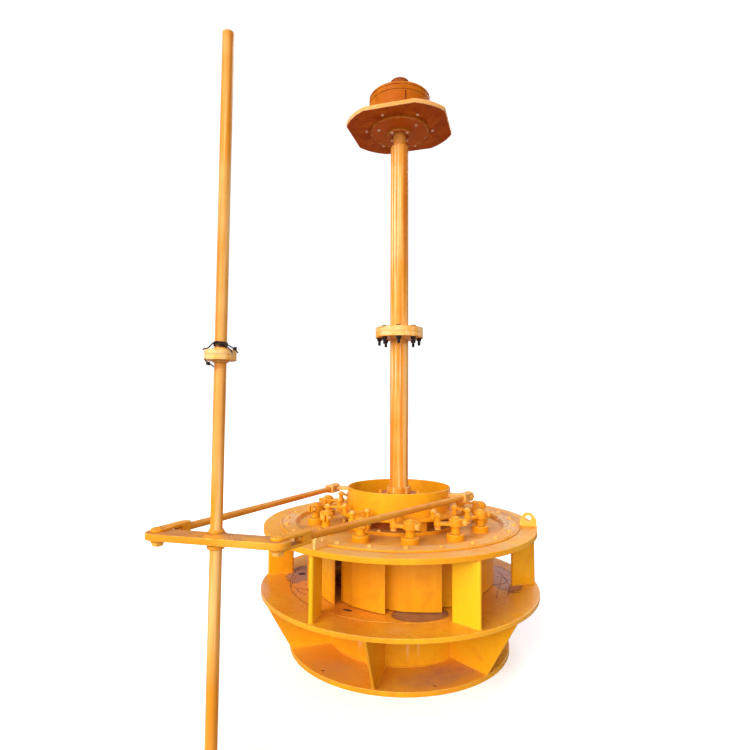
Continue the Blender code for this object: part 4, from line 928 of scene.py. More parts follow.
def makeLugs():
    # An upright plate with cut shoulders and an eye, standing along a radius
    low, half, crown = coverTop + touch, lug["width"] / 2, lug["crown"] / 2
    high, eye = low + lug["height"], low + lug["eyeHeight"]
    shoulder = high - lug["shoulder"]
    sides = [(-half, low), (0.0, low), (half, low), (half, shoulder), (crown, high), (0.0, high),
             (-crown, high), (-half, shoulder)]
    outline, _ = cornered(sides, lug["corners"], lug["cornerSteps"])
    thick = lug["thickness"] / 2
    tab = moved(holedShell(outline, (0.0, eye), lug["eye"], -thick, thick, lug["edge"]), turn=tipped)
    foot = np.array([(-half, -thick), (half, -thick), (half, thick), (-half, thick), (-half, -thick)])
    bead = weldShell(np.concatenate([foot, np.full((len(foot), 1), low)], 1), lug["weld"], seed=31)
    for step, angle in enumerate(lug["angles"]):
        place, turn = spots(lug["circle"], angle), [angle - 90.0]
        makePiece(f"liftingLug{step + 1}", [(copied(tab, place, turn), "bolt"),
                                            (copied(bead, place, turn), "weld")],
                  "root", [f"lifting_lug_{step + 1}"])


makeThroat()
makeLowerRings()
makeStayVanes()
makeCracks()
makeUpperRing()
makeLugs()
print("distributor rings made")


# Head cover, inner cover, shaft seal and the regulating ring's support

stem = {"count": 12, "first": 4.0, "circle": 0.530, "radius": 0.0235, "top": 0.846, "edge": 0.0025,
        "sunk": 0.01, "crown": (0.0075, 0.001, 0.0035), "crownEdge": 0.001, "crownSteps": 12,
        "collar": 0.0285, "collarTop": 0.7595, "collarEdge": 0.0012}
cover = {"radius": 0.750, "rimTop": 0.742, "floorRadius": 0.650, "floorTop": 0.715, "underside": 0.700,
         "bore": 0.135, "lip": 0.0015, "lean": 0.004, "edge": 0.0022, "groove": 0.738, "grooveHalf": 0.0022,
         "grooveDepth": 0.003, "stemPlay": 0.0006, "drillBelow": 0.05, "drillAbove": 0.03,
         "bossRadius": 0.050, "bossTop": 0.754, "bossSunk": 0.002, "bossEdge": 0.004, "bossWeld": 0.0035,
         "bolt": (0.0125, 0.0125, 1.35), "bolts": 24, "boltCircle": 0.712, "firstBolt": 0.3, "boltTurn": 23.0}
innerCover = {"rim": (0.360, 0.345), "out": ((0.357, 0.680), (0.285, 0.600), (0.215, 0.480), (0.178, 0.380),
                                             (0.170, 0.300)),
              "in": ((0.162, 0.300), (0.170, 0.383), (0.207, 0.484), (0.277, 0.604), (0.345, 0.684)),
              "bends": (0.002, 0.02, 0.05, 0.05, 0.05, 0.002), "bendSteps": 8}
seal = {"barrel": 0.115, "flange": 0.190, "flangeTop": 0.020, "gland": 0.140, "glandLow": 0.880,
        "glandTop": 0.903, "low": 0.560, "bore": 0.0596, "edge": 0.0025, "bolts": 8, "firstBolt": 8.0,
        "bolt": (0.012, 0.011, 1.3), "boltCircle": 0.165, "nuts": 6, "firstNut": 20.0,
        "nut": (0.0105, 0.011, 1.3, 0.010), "nutCircle": 0.122}
support = {"wallIn": 0.265, "wallOut": 0.276, "sunk": 0.003, "seat": 0.352, "seatTop": 0.7996,
           "seatThick": 0.014, "foot": 0.362, "footTop": 0.020, "edge": 0.002, "posts": 6,
           "firstPost": 23.0, "postCircle": 0.330, "postSize": (0.035, 0.030), "postLap": 0.004,
           "postCorner": 0.004, "bolts": 12, "boltLead": 15.0, "bolt": (0.011, 0.010, 1.3),
           "boltCircle": 0.348}
stemAngles = evenly(stem["count"], stem["first"])


def makeHeadCover():
    floor, rim, under = cover["floorTop"], cover["rimTop"], cover["underside"]
    lip, shelf = rings["upperBore"] - cover["lip"], coverTop + touch
    bottom = rim - cover["grooveDepth"]
    grooveIn, grooveOut = cover["groove"] - cover["grooveHalf"], cover["groove"] + cover["grooveHalf"]
    bore, wall, outer = cover["bore"], cover["floorRadius"], cover["radius"]
    profile = [(bore, floor), (wall, floor), (wall + cover["lean"], rim), (grooveIn, rim),
               (grooveIn, bottom), (grooveOut, bottom), (grooveOut, rim), (outer, rim), (outer, shelf),
               (lip, shelf), (lip, under), (bore, under)]
    disc = turned(profile, cover["edge"], wideSteps, ring=True)
    eye, bossTop = stem["radius"] + cover["stemPlay"], cover["bossTop"]
    hole = barrel(eye, under - cover["drillBelow"], bossTop + cover["drillAbove"], 0.0, fineSteps)
    places = spots(stem["circle"], stemAngles)
    makePiece("headCover", [(disc, "cover")], "root", ["head_cover"], cutters=[copied(hole, places)])
    side = cover["bossRadius"]
    boss = ringShell(eye, side, floor - cover["bossSunk"], bossTop, cover["bossEdge"], fineSteps)
    bead = weldShell(circlePath(side, floor + lap, fineSteps), cover["bossWeld"], True, 41)
    bolts = boltCircle(cover["bolt"], cover["boltCircle"], evenly(cover["bolts"], cover["firstBolt"]), rim,
                       np.arange(cover["bolts"]) * cover["boltTurn"])
    makePiece("stemBosses", [(copied(boss, places), "body"), (copied(bead, places), "weld")], "root")
    makePiece("coverBolts", [(bolts, "bolt")], "root")


def makeInnerCover():
    top, (outer, inner) = cover["underside"] - touch, innerCover["rim"]
    profile = [(outer, top), *innerCover["out"], *innerCover["in"], (inner, top)]
    bends = innerCover["bends"] + innerCover["bends"][::-1]
    shell = turned(profile, bends, wideSteps, ring=True, corner=innerCover["bendSteps"])
    makePiece("innerCover", [(shell, "body")], "root", ["inner_cover"])


def makeSeal():
    floor, top = cover["floorTop"], cover["floorTop"] + seal["flangeTop"]
    glandTop, glandLow = seal["glandTop"], seal["glandLow"]
    wall, flange, low = seal["barrel"], seal["flange"], seal["low"]
    profile = [(seal["bore"], glandTop), (seal["gland"], glandTop), (seal["gland"], glandLow),
               (wall, glandLow), (wall, top), (flange, top), (flange, floor + touch),
               (wall, floor + touch), (wall, low), (seal["bore"], low)]
    housing = turned(profile, seal["edge"], ring=True)
    nuts = boltCircle(seal["nut"], seal["nutCircle"], evenly(seal["nuts"], seal["firstNut"]), glandTop)
    bolts = boltCircle(seal["bolt"], seal["boltCircle"], evenly(seal["bolts"], seal["firstBolt"]), top)
    makePiece("shaftSeal", [(housing, "inside"), (nuts, "lever"), (bolts, "lever")], "root", ["seal_housing"])


def makeSupport():
    floor, seatTop = cover["floorTop"], support["seatTop"]
    wallIn, wallOut = support["wallIn"], support["wallOut"]
    footTop, seatLow = floor + support["footTop"], seatTop - support["seatThick"]
    wallLow = footTop - support["sunk"]
    profile = [(wallIn, seatTop), (support["seat"], seatTop), (support["seat"], seatLow), (wallOut, seatLow),
               (wallOut, wallLow), (wallIn, wallLow)]
    wall = turned(profile, support["edge"], wideSteps, ring=True)
    foot = ringShell(wallIn, support["foot"], floor + touch, footTop, support["edge"], wideSteps)
    angles = evenly(support["posts"], support["firstPost"])
    tall = seatLow - footTop + support["postLap"]
    post = blockShell((*support["postSize"], tall), (0.0, 0.0, (seatLow + footTop) / 2),
                      corner=support["postCorner"])
    posts = copied(post, spots(support["postCircle"], angles), angles)
    bolts = boltCircle(support["bolt"], support["boltCircle"],
                       evenly(support["bolts"], support["firstPost"] + support["boltLead"]), footTop)
    makePiece("ringSupport", [(wall, "inside"), (foot, "cover"), (posts, "lever"), (bolts, "bolt")], "root",
              ["ring_support"])


makeHeadCover()
makeInnerCover()
makeSeal()
makeSupport()
print("covers and seal made")


# Regulating ring, guide vanes with their levers, and links

ring = {"radius": 0.328, "wall": 0.010, "low": 0.800, "top": 0.950, "flange": 0.400, "flangeTop": 0.815,
        "edge": 0.0025, "pinCircle": 0.385, "pinLead": -5.0, "post": 0.016, "postTop": 0.8446,
        "postSunk": 0.002, "postEdge": 0.0015, "postWeld": 0.0025, "weld": 0.0035, "weldOff": 0.0005,
        "ear": 0.450, "earWay": (0.936, -0.352), "earLow": 0.903, "earTop": 0.923, "earHalf": 0.034,
        "earHole": 0.015, "earSteps": 20, "earWeld": 0.004}
vane = {"nose": 0.135, "tail": 0.166, "thickest": -0.040, "half": 0.029, "tip": 0.004, "tilt": 12.0,
        "low": 0.370, "top": 0.695, "shares": (0.0, 0.3, 0.6, 0.8, 1.0), "edge": 0.0015, "edgeBand": 0.003,
        "foldBand": 0.004, "foldSteps": 8, "foldSharp": 0.8, "crease": 26.0,
        "folds": (0.004, 0.003, 0.030, 0.030, 0.020, 0.003, 0.003, 0.020, 0.030, 0.030, 0.030, 0.004)}
lever = {"arm": 0.100, "angle": 57.0, "hub": 0.037, "hubLow": 0.795, "hubTop": 0.836, "hubEdge": 0.003,
         "low": 0.800, "top": 0.817, "edge": 0.003, "root": 0.027, "tip": 0.018, "end": 0.0215,
         "endRise": 0.004, "endEdge": 0.002, "pin": 0.0145, "pinLow": 0.772, "pinSunk": 0.006,
         "pinGap": 0.0004, "pinEdge": 0.0015, "pinNut": (0.0175, 0.012, 1.15), "pinNutUp": 0.004,
         "clamp": (0.040, 0.0125), "clampOut": 0.006, "clampSide": 0.0105, "clampShort": 0.006,
         "boltHead": (0.0110, 0.0085, 1.25), "boltNut": (0.0110, 0.0090, 1.25, 0.006), "boltOut": 0.011,
         "boltSide": 0.0168}
link = {"low": 0.845, "thickness": 0.012, "eye": 0.022, "waist": 0.011, "eyePoints": 21, "band": 0.002,
        "nut": (0.0145, 0.0085, 1.25, 0.003), "nutTurns": (17.0, 41.0)}


def earShell(turn):
    # A flat ear that grows out of the ring's wall, with a bead along its foot above and below
    root, low, top, half = ring["radius"] - ring["wall"] / 2, ring["earLow"], ring["earTop"], ring["earHalf"]
    outline, _ = barOutline(ring["ear"] - root, half, half, ring["earSteps"])
    outline = outline + [root, 0.0]
    outline[:, 0] = np.maximum(outline[:, 0], root)
    shell = holedShell(respaced(outline), (ring["ear"], 0.0), ring["earHole"], low, top)
    wall = ring["radius"]
    foot = [(wall, -half, top), (wall + lap, 0.0, top), (wall, half, top)]
    bead = weldShell(foot, ring["earWeld"], seed=51)
    lower = moved(bead, (0.0, 0.0, low - top))
    heading = turnZ(headingOf(unit(np.array(ring["earWay"]))) + turn)
    return moved(shell, turn=heading), moved(joined(bead, lower), turn=heading)


def makeRegulatingRing():
    inner, outer = ring["radius"] - ring["wall"], ring["radius"]
    flange, level = ring["flange"], ring["flangeTop"]
    profile = [(inner, ring["top"]), (outer, ring["top"]), (outer, level), (flange, level),
               (flange, ring["low"]), (inner, ring["low"])]
    wall = turned(profile, ring["edge"], wideSteps, ring=True)
    places = spots(ring["pinCircle"], evenly(stem["count"], stem["first"] + ring["pinLead"]))
    post = barrel(ring["post"], level - ring["postSunk"], ring["postTop"], ring["postEdge"])
    foot = weldShell(circlePath(ring["post"], level + ring["weldOff"], 24), ring["postWeld"], True, 52)
    bead = weldShell(circlePath(outer + ring["weldOff"], level + ring["weldOff"]), ring["weld"], True, 53)
    rightEar, rightBead = earShell(0.0)
    leftEar, leftBead = earShell(180.0)
    makePiece("regulatingRing", [
        (wall, "body"), (joined(rightEar, leftEar), "dusty"), (copied(post, places), "lever"),
        (joined(copied(foot, places), bead, rightBead, leftBead), "weld")],
        "regulating_ring", ["regulating_ring"])


def vaneShell():
    # The section from above: a flat nose facet up to the fold at the thickest place, and behind it a side
    # that falls with the square of its share. The mean line leans by the vane's tilt.
    lean = math.tan(math.radians(vane["tilt"]))
    share = np.array(vane["shares"])
    x = np.concatenate([[-vane["nose"]], vane["thickest"] + (vane["tail"] - vane["thickest"]) * share])
    half = np.concatenate([[vane["tip"]], vane["tip"] + (vane["half"] - vane["tip"]) * (1 - share ** 2)])
    points = np.concatenate([np.stack([x, -half - lean * x], 1), np.stack([x, half - lean * x], 1)[::-1]])
    outline, sharp = cornered(points, vane["folds"], vane["foldSteps"], vane["foldBand"])
    core = np.stack([outline[:, 0], -lean * outline[:, 0]], 1)
    points, faces, rim = plateShell(outline, core, vane["low"], vane["top"], vane["edge"],
                                    band=vane["edgeBand"])
    folds = np.tile(sharp * vane["foldSharp"], len(rim) // len(sharp))
    return points, faces, np.clip(rim + folds, -1.0, 1.0)


def leverPin():
    turn = math.radians(lever["angle"])
    return np.array([-lever["arm"] * math.sin(turn), lever["arm"] * math.cos(turn), 0.0])


def leverShells():
    # A hub clamped on the stem: two ears with a bolt through them on one side, the arm on the other
    low, top, pin = lever["hubLow"], lever["hubTop"], leverPin()
    heading = headingOf(pin)
    hub = ringShell(stem["radius"] - grip, lever["hub"], low, top, lever["hubEdge"], fineSteps)
    outline, core = barOutline(lever["arm"], lever["root"], lever["tip"])
    arm = moved(plateShell(outline, core, lever["low"], lever["top"], lever["edge"]), turn=turnZ(heading))
    end = ringShell(lever["pin"] - grip, lever["end"], lever["low"] - lever["endRise"],
                    lever["top"] + lever["endRise"], lever["endEdge"], fineSteps)
    size = (*lever["clamp"], top - low - lever["clampShort"])
    out, aside = lever["hub"] + lever["clampOut"], lever["clampSide"]
    ears = joined(*[blockShell(size, (out, side * aside, (low + top) / 2)) for side in (-1, 1)])
    ears = moved(ears, turn=turnZ(heading + 180.0))
    pinShell = barrel(lever["pin"], lever["pinLow"] + lever["pinSunk"], link["low"] - lever["pinGap"],
                      lever["pinEdge"], place=pin)
    return joined(hub, arm, moved(end, pin), ears, pinShell)


def leverBolts():
    # The clamp bolt lies across the ears, with its head at one end and a nut at the other
    pin = leverPin()
    out, side = lever["hub"] + lever["boltOut"], lever["boltSide"]
    middle = (lever["hubLow"] + lever["hubTop"]) / 2
    across = joined(moved(nutShell(*lever["boltHead"]), (out, -side, middle), tipped),
                    moved(nutShell(*lever["boltNut"]), (out, side, middle), standing))
    nut = moved(nutShell(*lever["pinNut"]), pin, upsideDown)
    below = moved(nut, (0.0, 0.0, lever["pinLow"] + lever["pinNut"][1] + lever["pinNutUp"]))
    return joined(moved(across, turn=turnZ(headingOf(pin) + 180.0)), below)


def makeGuideVanes():
    leaf, arm, bolts = vaneShell(), leverShells(), leverBolts()
    pivot = barrel(stem["radius"], vane["top"] - stem["sunk"], stem["top"], stem["edge"], fineSteps)
    collar = ringShell(stem["radius"] - grip, stem["collar"], cover["bossTop"] + slip, stem["collarTop"],
                       stem["collarEdge"], fineSteps)
    radius, sunk, rise = stem["crown"]
    crown = barrel(radius, stem["top"] - sunk, stem["top"] + rise, stem["crownEdge"], stem["crownSteps"])
    shells = [(leaf, "vane"), (joined(pivot, collar), "body"), (arm, "lever"),
              (joined(bolts, crown), "bolt")]
    for step, angle in enumerate(stemAngles):
        place, name = spots(stem["circle"], angle), f"vane_{step + 1}"
        makePiece(f"guideVane{step + 1}", [(copied(shell, place, angle), paint) for shell, paint in shells],
                  name, [f"guide_{name}"], crease=vane["crease"])


def linkShell(length):
    # Two eyes joined by a narrower waist: each eye's arc ends where it meets the waist's side
    meet = math.asin(link["waist"] / link["eye"])
    t = np.linspace(meet, 2 * math.pi - meet, link["eyePoints"])
    first = np.stack([link["eye"] * np.cos(t), link["eye"] * np.sin(t)], 1)
    outline = np.concatenate([first, np.stack([length - first[::-1, 0], first[::-1, 1]], 1)])
    return plateShell(outline, coreLine(outline, 0.0, length), link["low"], link["low"] + link["thickness"],
                      band=link["band"])


def makeLinks():
    near = np.array([0.0, -stem["circle"], 0.0]) + leverPin()
    way = spots(ring["pinCircle"], ring["pinLead"])[0] - near
    length = float(np.linalg.norm(way))
    high, (firstTurn, secondTurn) = link["low"] + link["thickness"], link["nutTurns"]
    nut, bar = nutShell(*link["nut"]), linkShell(length)
    nuts = joined(moved(nut, (0.0, 0.0, high), turnZ(firstTurn)),
                  moved(nut, (length, 0.0, high), turnZ(secondTurn)))
    for step, angle in enumerate(stemAngles):
        place, turn = (near @ turnZ(angle).T)[None], headingOf(way) + angle
        makePiece(f"vaneLink{step + 1}", [(copied(bar, place, turn), "lever"),
                                          (copied(nuts, place, turn), "bolt")],
                  f"link_{step + 1}", [f"vane_link_{step + 1}"])


makeRegulatingRing()
makeGuideVanes()
makeLinks()
print("regulating gear made")


# Shaft line, thrust bearing and runner

shaft = {"radius": 0.059, "neck": 0.042, "neckStart": 3.205, "neckTop": 0.005, "coupling": 0.155,
         "low": 1.907, "middle": 1.940, "high": 1.973, "collar": 0.075, "collarLow": 0.908,
         "collarTop": 0.947, "palm": 0.100, "palmTop": 0.030, "edge": 0.0022, "fillet": (0.006, 0.010),
         "neckStep": (0.006, 0.004, 0.008), "bolts": 8, "boltCircle": 0.130, "firstBolt": -4.0,
         "boltHead": (0.0165, 0.0075, 1.1), "boltNut": (0.0165, 0.017, 1.15, 0.030, 0.55), "nutTurn": 1.7}
shaftEnd = {"radius": 0.065, "dimple": (0.016, 0.018, 0.014), "bevel": (0.007, 0.008),
            "step": (0.004, 0.030, 0.026), "edge": 0.002, "bolt": (0.008, 0.006, 1.2), "bolts": 6,
            "boltCircle": 0.033, "firstBolt": 10.0, "boltSunk": 0.0065}
plate = {"low": 3.319, "top": 3.347, "halfSide": 0.330, "corner": 0.3675, "cornerSteps": 14, "depth": 0.88,
         "edge": 0.003, "turn": -16.5, "holes": 4, "firstHole": 45.0, "holeCircle": 0.334,
         "holeRadius": 0.011, "drill": 0.02, "shadePlugUp": 0.002, "shadePlugDown": 0.003, "shadePlugEdge": 0.001}
bearing = {"radius": 0.205, "shoulder": 0.008, "grooves": (3.485, 3.518), "grooveDepth": 0.004,
           "grooveHalf": 0.003, "edge": 0.0014, "band": 0.003, "seam": 4.0, "seamWidth": 0.020,
           "seamDepth": 0.012, "seamDown": 0.010, "jointTurn": 3.8, "jointWidth": 0.006, "jointDepth": 0.004,
           "bolts": 8, "firstBolt": 12.0, "lidBolt": (0.011, 0.010, 1.25), "lidCircle": 0.165,
           "footBolt": (0.013, 0.012, 1.3), "footCircle": 0.232}
lowerCover = {"rim": 0.194, "low": 3.300, "lip": (0.010, 0.012), "hollow": 0.003, "hollowIn": 0.105,
              "gland": 0.080, "glandLow": 3.280, "glandFoot": 0.012, "glandSide": (0.004, 0.006),
              "mouth": (0.018, 0.014, 0.010), "edge": 0.0022,
              "glandNuts": ((0.0085, 0.008, 1.25), 0.070, 4, 42.0),
              "plateNuts": ((0.0085, 0.007, 1.2), 0.222, 6, 28.0),
              "discNuts": ((0.0085, 0.008, 1.25), 0.145, 3, -75.0)}
runner = {"hub": 0.160, "top": 0.285, "shoulder": 0.008, "cone": 0.090, "nose": 0.012, "noseSteps": 25,
          "edge": 0.002, "blades": 4, "tip": 0.3965, "centre": 0.175, "first": 20.0, "trunnion": 0.062,
          "trunnionIn": -0.012, "trunnionOut": 0.0035, "trunnionSunk": 0.004}
blade = {"rows": 18, "steps": 26, "rootGap": 0.0002, "chord": (0.190, 0.150), "pitch": (44.0, 22.0),
         "camber": 0.06, "edge": 0.002, "body": (0.012, 0.008)}


def makeShafts():
    r, flange, palm, collar = shaft["radius"], shaft["coupling"], shaft["palm"], shaft["collar"]
    (wide, deep), (stepIn, stepUp, stepDown) = shaft["fillet"], shaft["neckStep"]
    low, high, neckTop, start = shaft["low"], shaft["high"], bearingTop + shaft["neckTop"], shaft["neckStart"]
    under, over = shaft["middle"] - touch, shaft["middle"] + touch
    palmTop, palmLow = runner["top"] + shaft["palmTop"], runner["top"] + touch
    lower = [(0.0, under), (flange, under), (flange, low), (r + wide, low), (r, low - deep),
             (r, shaft["collarTop"]), (collar, shaft["collarTop"]), (collar, shaft["collarLow"]),
             (r, shaft["collarLow"]), (r, palmTop), (palm, palmTop), (palm, palmLow), (0.0, palmLow)]
    upper = [(0.0, neckTop), (shaft["neck"], neckTop), (shaft["neck"], start + stepUp), (r - stepIn, start),
             (r, start - stepDown), (r, high + deep), (r + wide, high), (flange, high), (flange, over),
             (0.0, over)]
    makePiece("lowerMainShaft", [(turned(lower, shaft["edge"]), "shaft")], "rotor", ["lower_main_shaft"])
    makePiece("upperMainShaft", [(turned(upper, shaft["edge"]), "shaft")], "rotor", ["upper_main_shaft"])
    angles, circle = evenly(shaft["bolts"], shaft["firstBolt"]), shaft["boltCircle"]
    heads = boltCircle(shaft["boltHead"], circle, angles, high, angles)
    nuts = boltCircle(shaft["boltNut"], circle, angles, low, angles * shaft["nutTurn"], upsideDown)
    makePiece("couplingBolts", [(joined(heads, nuts), "black")], "rotor")


def makeShaftEnd():
    low, r = bearingTop + shaft["neckTop"] + touch, shaftEnd["radius"]
    bottomIn, mouth, deep = shaftEnd["dimple"]
    (bevelIn, bevelDown), (stepIn, stepHigh, stepLow) = shaftEnd["bevel"], shaftEnd["step"]
    profile = [(0.0, shaftTop - deep), (bottomIn, shaftTop - deep), (mouth, shaftTop),
               (r - bevelIn, shaftTop), (r, shaftTop - bevelDown), (r, low + stepHigh),
               (r - stepIn, low + stepLow), (r - stepIn, low), (0.0, low)]
    angles = evenly(shaftEnd["bolts"], shaftEnd["firstBolt"])
    bolts = boltCircle(shaftEnd["bolt"], shaftEnd["boltCircle"], angles, shaftTop - shaftEnd["boltSunk"])
    cap = turned(profile, shaftEnd["edge"], fineSteps * 2)
    makePiece("shaftEnd", [(cap, "oxide"), (bolts, "black")], "rotor", ["shaft_end"])


def plateOutline():
    # A square whose corners are cut by one circle, drawn in to a rectangle
    half = 45.0 - math.degrees(math.acos(plate["halfSide"] / plate["corner"]))
    corners = (45.0 + 90.0 * np.arange(4))[:, None]
    t = np.radians(corners + np.linspace(-half, half, plate["cornerSteps"])[None]).reshape(-1)
    return plate["corner"] * np.stack([np.cos(t), plate["depth"] * np.sin(t)], 1)


def makeBearingPlate():
    low, high, turn = plate["low"], plate["top"], turnZ(plate["turn"])
    slab = holedShell(plateOutline(), (0.0, 0.0), shaft["neck"] + slip, low, high, plate["edge"])
    angles = evenly(plate["holes"], plate["firstHole"])
    places = spots(plate["holeCircle"], angles) * [1.0, plate["depth"], 1.0]
    holes = copied(barrel(plate["holeRadius"], low - plate["drill"], high + plate["drill"], 0.0), places)
    makePiece("bearingPlate", [(moved(slab, turn=turn), "plate")], "root", ["bearing_plate"],
              cutters=[moved(holes, turn=turn)])
    # Dark plugs in the plate's holes: painted shade in the holes
    shadePlugs = copied(barrel(plate["holeRadius"] - touch, low + plate["shadePlugUp"], high - plate["shadePlugDown"],
                         plate["shadePlugEdge"]), places)
    makePiece("plateHoleShadePlugs", [(moved(shadePlugs, turn=turn), "oxide")], "root")


def makeBearing():
    neck, low, r, half = shaft["neck"] + slip, plate["top"] + touch, bearing["radius"], bearing["grooveHalf"]
    shoulder, inner = bearing["shoulder"], r - bearing["grooveDepth"]
    profile = [(neck, bearingTop), (r - shoulder, bearingTop), (r, bearingTop - shoulder)]
    for height in reversed(bearing["grooves"]):
        profile += [(r, height + half), (inner, height + half), (inner, height - half), (r, height - half)]
    profile += [(r, low), (neck, low)]
    housing = turned(profile, bearing["edge"], wideSteps, ring=True, band=bearing["band"])
    tall = bearing["grooves"][0] - bearing["seamDown"] - low
    middle, turn, deep = low + tall / 2, bearing["seam"], bearing["seamDepth"]
    strip = blockShell((bearing["seamWidth"], deep, tall), (*spots(r, turn)[0, :2], middle), turn)
    beside = spots(r, turn + bearing["jointTurn"])[0, :2]
    joint = blockShell((bearing["jointWidth"], deep - bearing["jointDepth"], tall), (*beside, middle), turn)
    angles = evenly(bearing["bolts"], bearing["firstBolt"])
    lid = boltCircle(bearing["lidBolt"], bearing["lidCircle"], angles, bearingTop)
    foot = boltCircle(bearing["footBolt"], bearing["footCircle"], angles, low)
    makePiece("bearingHousing", [(joined(housing, strip), "housing"), (joint, "oxide"),
                                 (joined(lid, foot), "bolt")], "root", ["bearing_housing"])


def makeLowerCover():
    neck, top, low, rim = shaft["neck"] + slip, plate["low"] - touch, lowerCover["low"], lowerCover["rim"]
    gland, glandLow, hollow = lowerCover["gland"], lowerCover["glandLow"], low + lowerCover["hollow"]
    (lipIn, hollowOut), (sideOut, sideDown) = lowerCover["lip"], lowerCover["glandSide"]
    mouthOut, mouthIn, mouthUp = lowerCover["mouth"]
    profile = [(neck, top), (rim, top), (rim, low), (rim - lipIn, low), (rim - hollowOut, hollow),
               (lowerCover["hollowIn"], hollow), (gland + lowerCover["glandFoot"], low),
               (gland + sideOut, low - sideDown), (gland, glandLow), (neck + mouthOut, glandLow),
               (neck + mouthIn, glandLow + mouthUp), (neck, glandLow + mouthUp)]
    disc = turned(profile, lowerCover["edge"], ring=True)
    nuts = []
    for key, level in (("glandNuts", glandLow), ("plateNuts", plate["low"]), ("discNuts", hollow)):
        nut, circle, count, first = lowerCover[key]
        nuts.append(boltCircle(nut, circle, evenly(count, first), level, turn=upsideDown))
    makePiece("bearingLowerCover", [(disc, "disc"), (joined(*nuts), "nut")], "root", ["bearing_lower_cover"])


def makeHub():
    # A barrel with a round nose: (R cos a, z - h sin a), and a low round disc on its side for each blade
    r, top, shoulder = runner["hub"], runner["top"], runner["shoulder"]
    tall = runner["cone"] - runner["nose"]
    angles = np.radians(np.linspace(0.0, 90.0, runner["noseSteps"])[:-1])
    nose = [(r * math.cos(a), runner["cone"] - tall * math.sin(a)) for a in angles]
    profile = [(0.0, top), (r - shoulder, top), (r, top - shoulder), *nose, (0.0, runner["nose"])]
    hub = turned(profile, runner["edge"])
    disc = barrel(runner["trunnion"], runner["trunnionIn"], runner["trunnionOut"], steps=fineSteps)
    side = moved(disc, (0.0, -(r - runner["trunnionSunk"]), 0.0), tipped)
    places = np.zeros((runner["blades"], 3)) + [0.0, 0.0, runner["centre"]]
    discs = copied(side, places, evenly(runner["blades"], runner["first"]))
    makePiece("runnerHub", [(hub, "lever"), (discs, "lever")], "rotor", ["runner_hub"])


def bladeShell():
    # Sections wrapped on cylinders about the shaft. Along the chord s runs from -1 to 1, the half thickness
    # is e sqrt(1 - s^8) + h (1 - s^2), and the camber lifts the middle by its share of the chord.
    root = runner["hub"] + blade["rootGap"]
    share = np.linspace(0.0, 1.0, blade["rows"])[:, None]
    radius = root + share * (runner["tip"] - runner["hub"] - blade["rootGap"])
    (chordIn, chordMore), (pitchIn, pitchLess) = blade["chord"], blade["pitch"]
    thick, thinner = blade["body"]
    chord, pitch = chordIn + chordMore * share, np.radians(pitchIn - pitchLess * share)
    s = -np.cos(np.linspace(0.0, np.pi, blade["steps"]))[None]
    lift = blade["camber"] * chord * (1 - s ** 2)
    half = blade["edge"] * np.sqrt(np.maximum(1 - s ** 8, 0.0)) + (thick - thinner * share) * (1 - s ** 2)
    x = np.concatenate([s + 0 * share, (s + 0 * share)[:, ::-1]], 1) * chord / 2
    y = np.concatenate([lift + half, (lift - half)[:, ::-1]], 1)
    along, up = x * np.cos(pitch) - y * np.sin(pitch), x * np.sin(pitch) + y * np.cos(pitch)
    turn = along / radius
    grid = np.stack([radius * np.sin(turn), -radius * np.cos(turn), runner["centre"] + up], -1)
    # Both ends close on their own chord line: each point and its partner meet in the middle
    ends = [(row + row[::-1]) / 2 for row in (grid[0], grid[-1])]
    return gridShell(np.concatenate([ends[0][None], grid, ends[1][None]]))


def makeBlades():
    shell = bladeShell()
    for step, angle in enumerate(evenly(runner["blades"], runner["first"])):
        makePiece(f"runnerBlade{step + 1}", [(moved(shell, turn=turnZ(angle)), "lever")], "rotor",
                  [f"runner_blade_{step + 1}"])


makeShafts()
makeShaftEnd()
makeBearingPlate()
makeBearing()
makeLowerCover()
makeHub()
makeBlades()
print("shaft line, bearing and runner made")


# Governor shaft, cross-lever and push rods

governor = {"radius": 0.024, "coupling": 0.063, "low": 1.640, "middle": 1.661, "high": 1.682, "edge": 0.002,
            "fillet": (0.010, 0.008), "filletRise": 0.0035}
footBearing = {"radius": 0.060, "thick": 0.018, "boss": 0.042, "bossTop": 0.055, "fillet": 0.004,
               "edge": 0.0018, "gap": 0.0004, "bolt": (0.0055, 0.005, 1.2), "bolts": 4, "firstBolt": 45.0,
               "boltCircle": 0.0515}
cross = {"way": (0.970, -0.244), "arm": 0.266, "half": 0.050, "low": 0.915, "high": 0.943, "edge": 0.003,
         "endSteps": 24, "boreGap": 0.0002, "hubAbove": ((0.028, 0.026), (0.034, 0.012), (0.052, -0.001)),
         "hubBelow": ((0.052, 0.001), (0.036, -0.004), (0.034, -0.022)),
         "hubBends": (0.002, 0.008, 0.012, 0.003, 0.003, 0.003, 0.003, 0.002), "pin": 0.012, "pinLow": 0.883,
         "pinTop": 0.960, "pinEdge": 0.0015, "washer": 0.021, "washerIn": 0.0005, "washerLow": 0.0006,
         "washerTop": 0.0030, "washerEdge": 0.001, "nut": (0.0245, 0.016, 1.12), "nutGap": 0.0006,
         "splint": ((0.0, -0.016, 0.0), (0.0, 0.0, 0.0), (0.0, 0.017, 0.001), (0.003, 0.021, -0.002)),
         "splintRadius": 0.0014, "splintSides": 6, "splintDown": 0.0015}
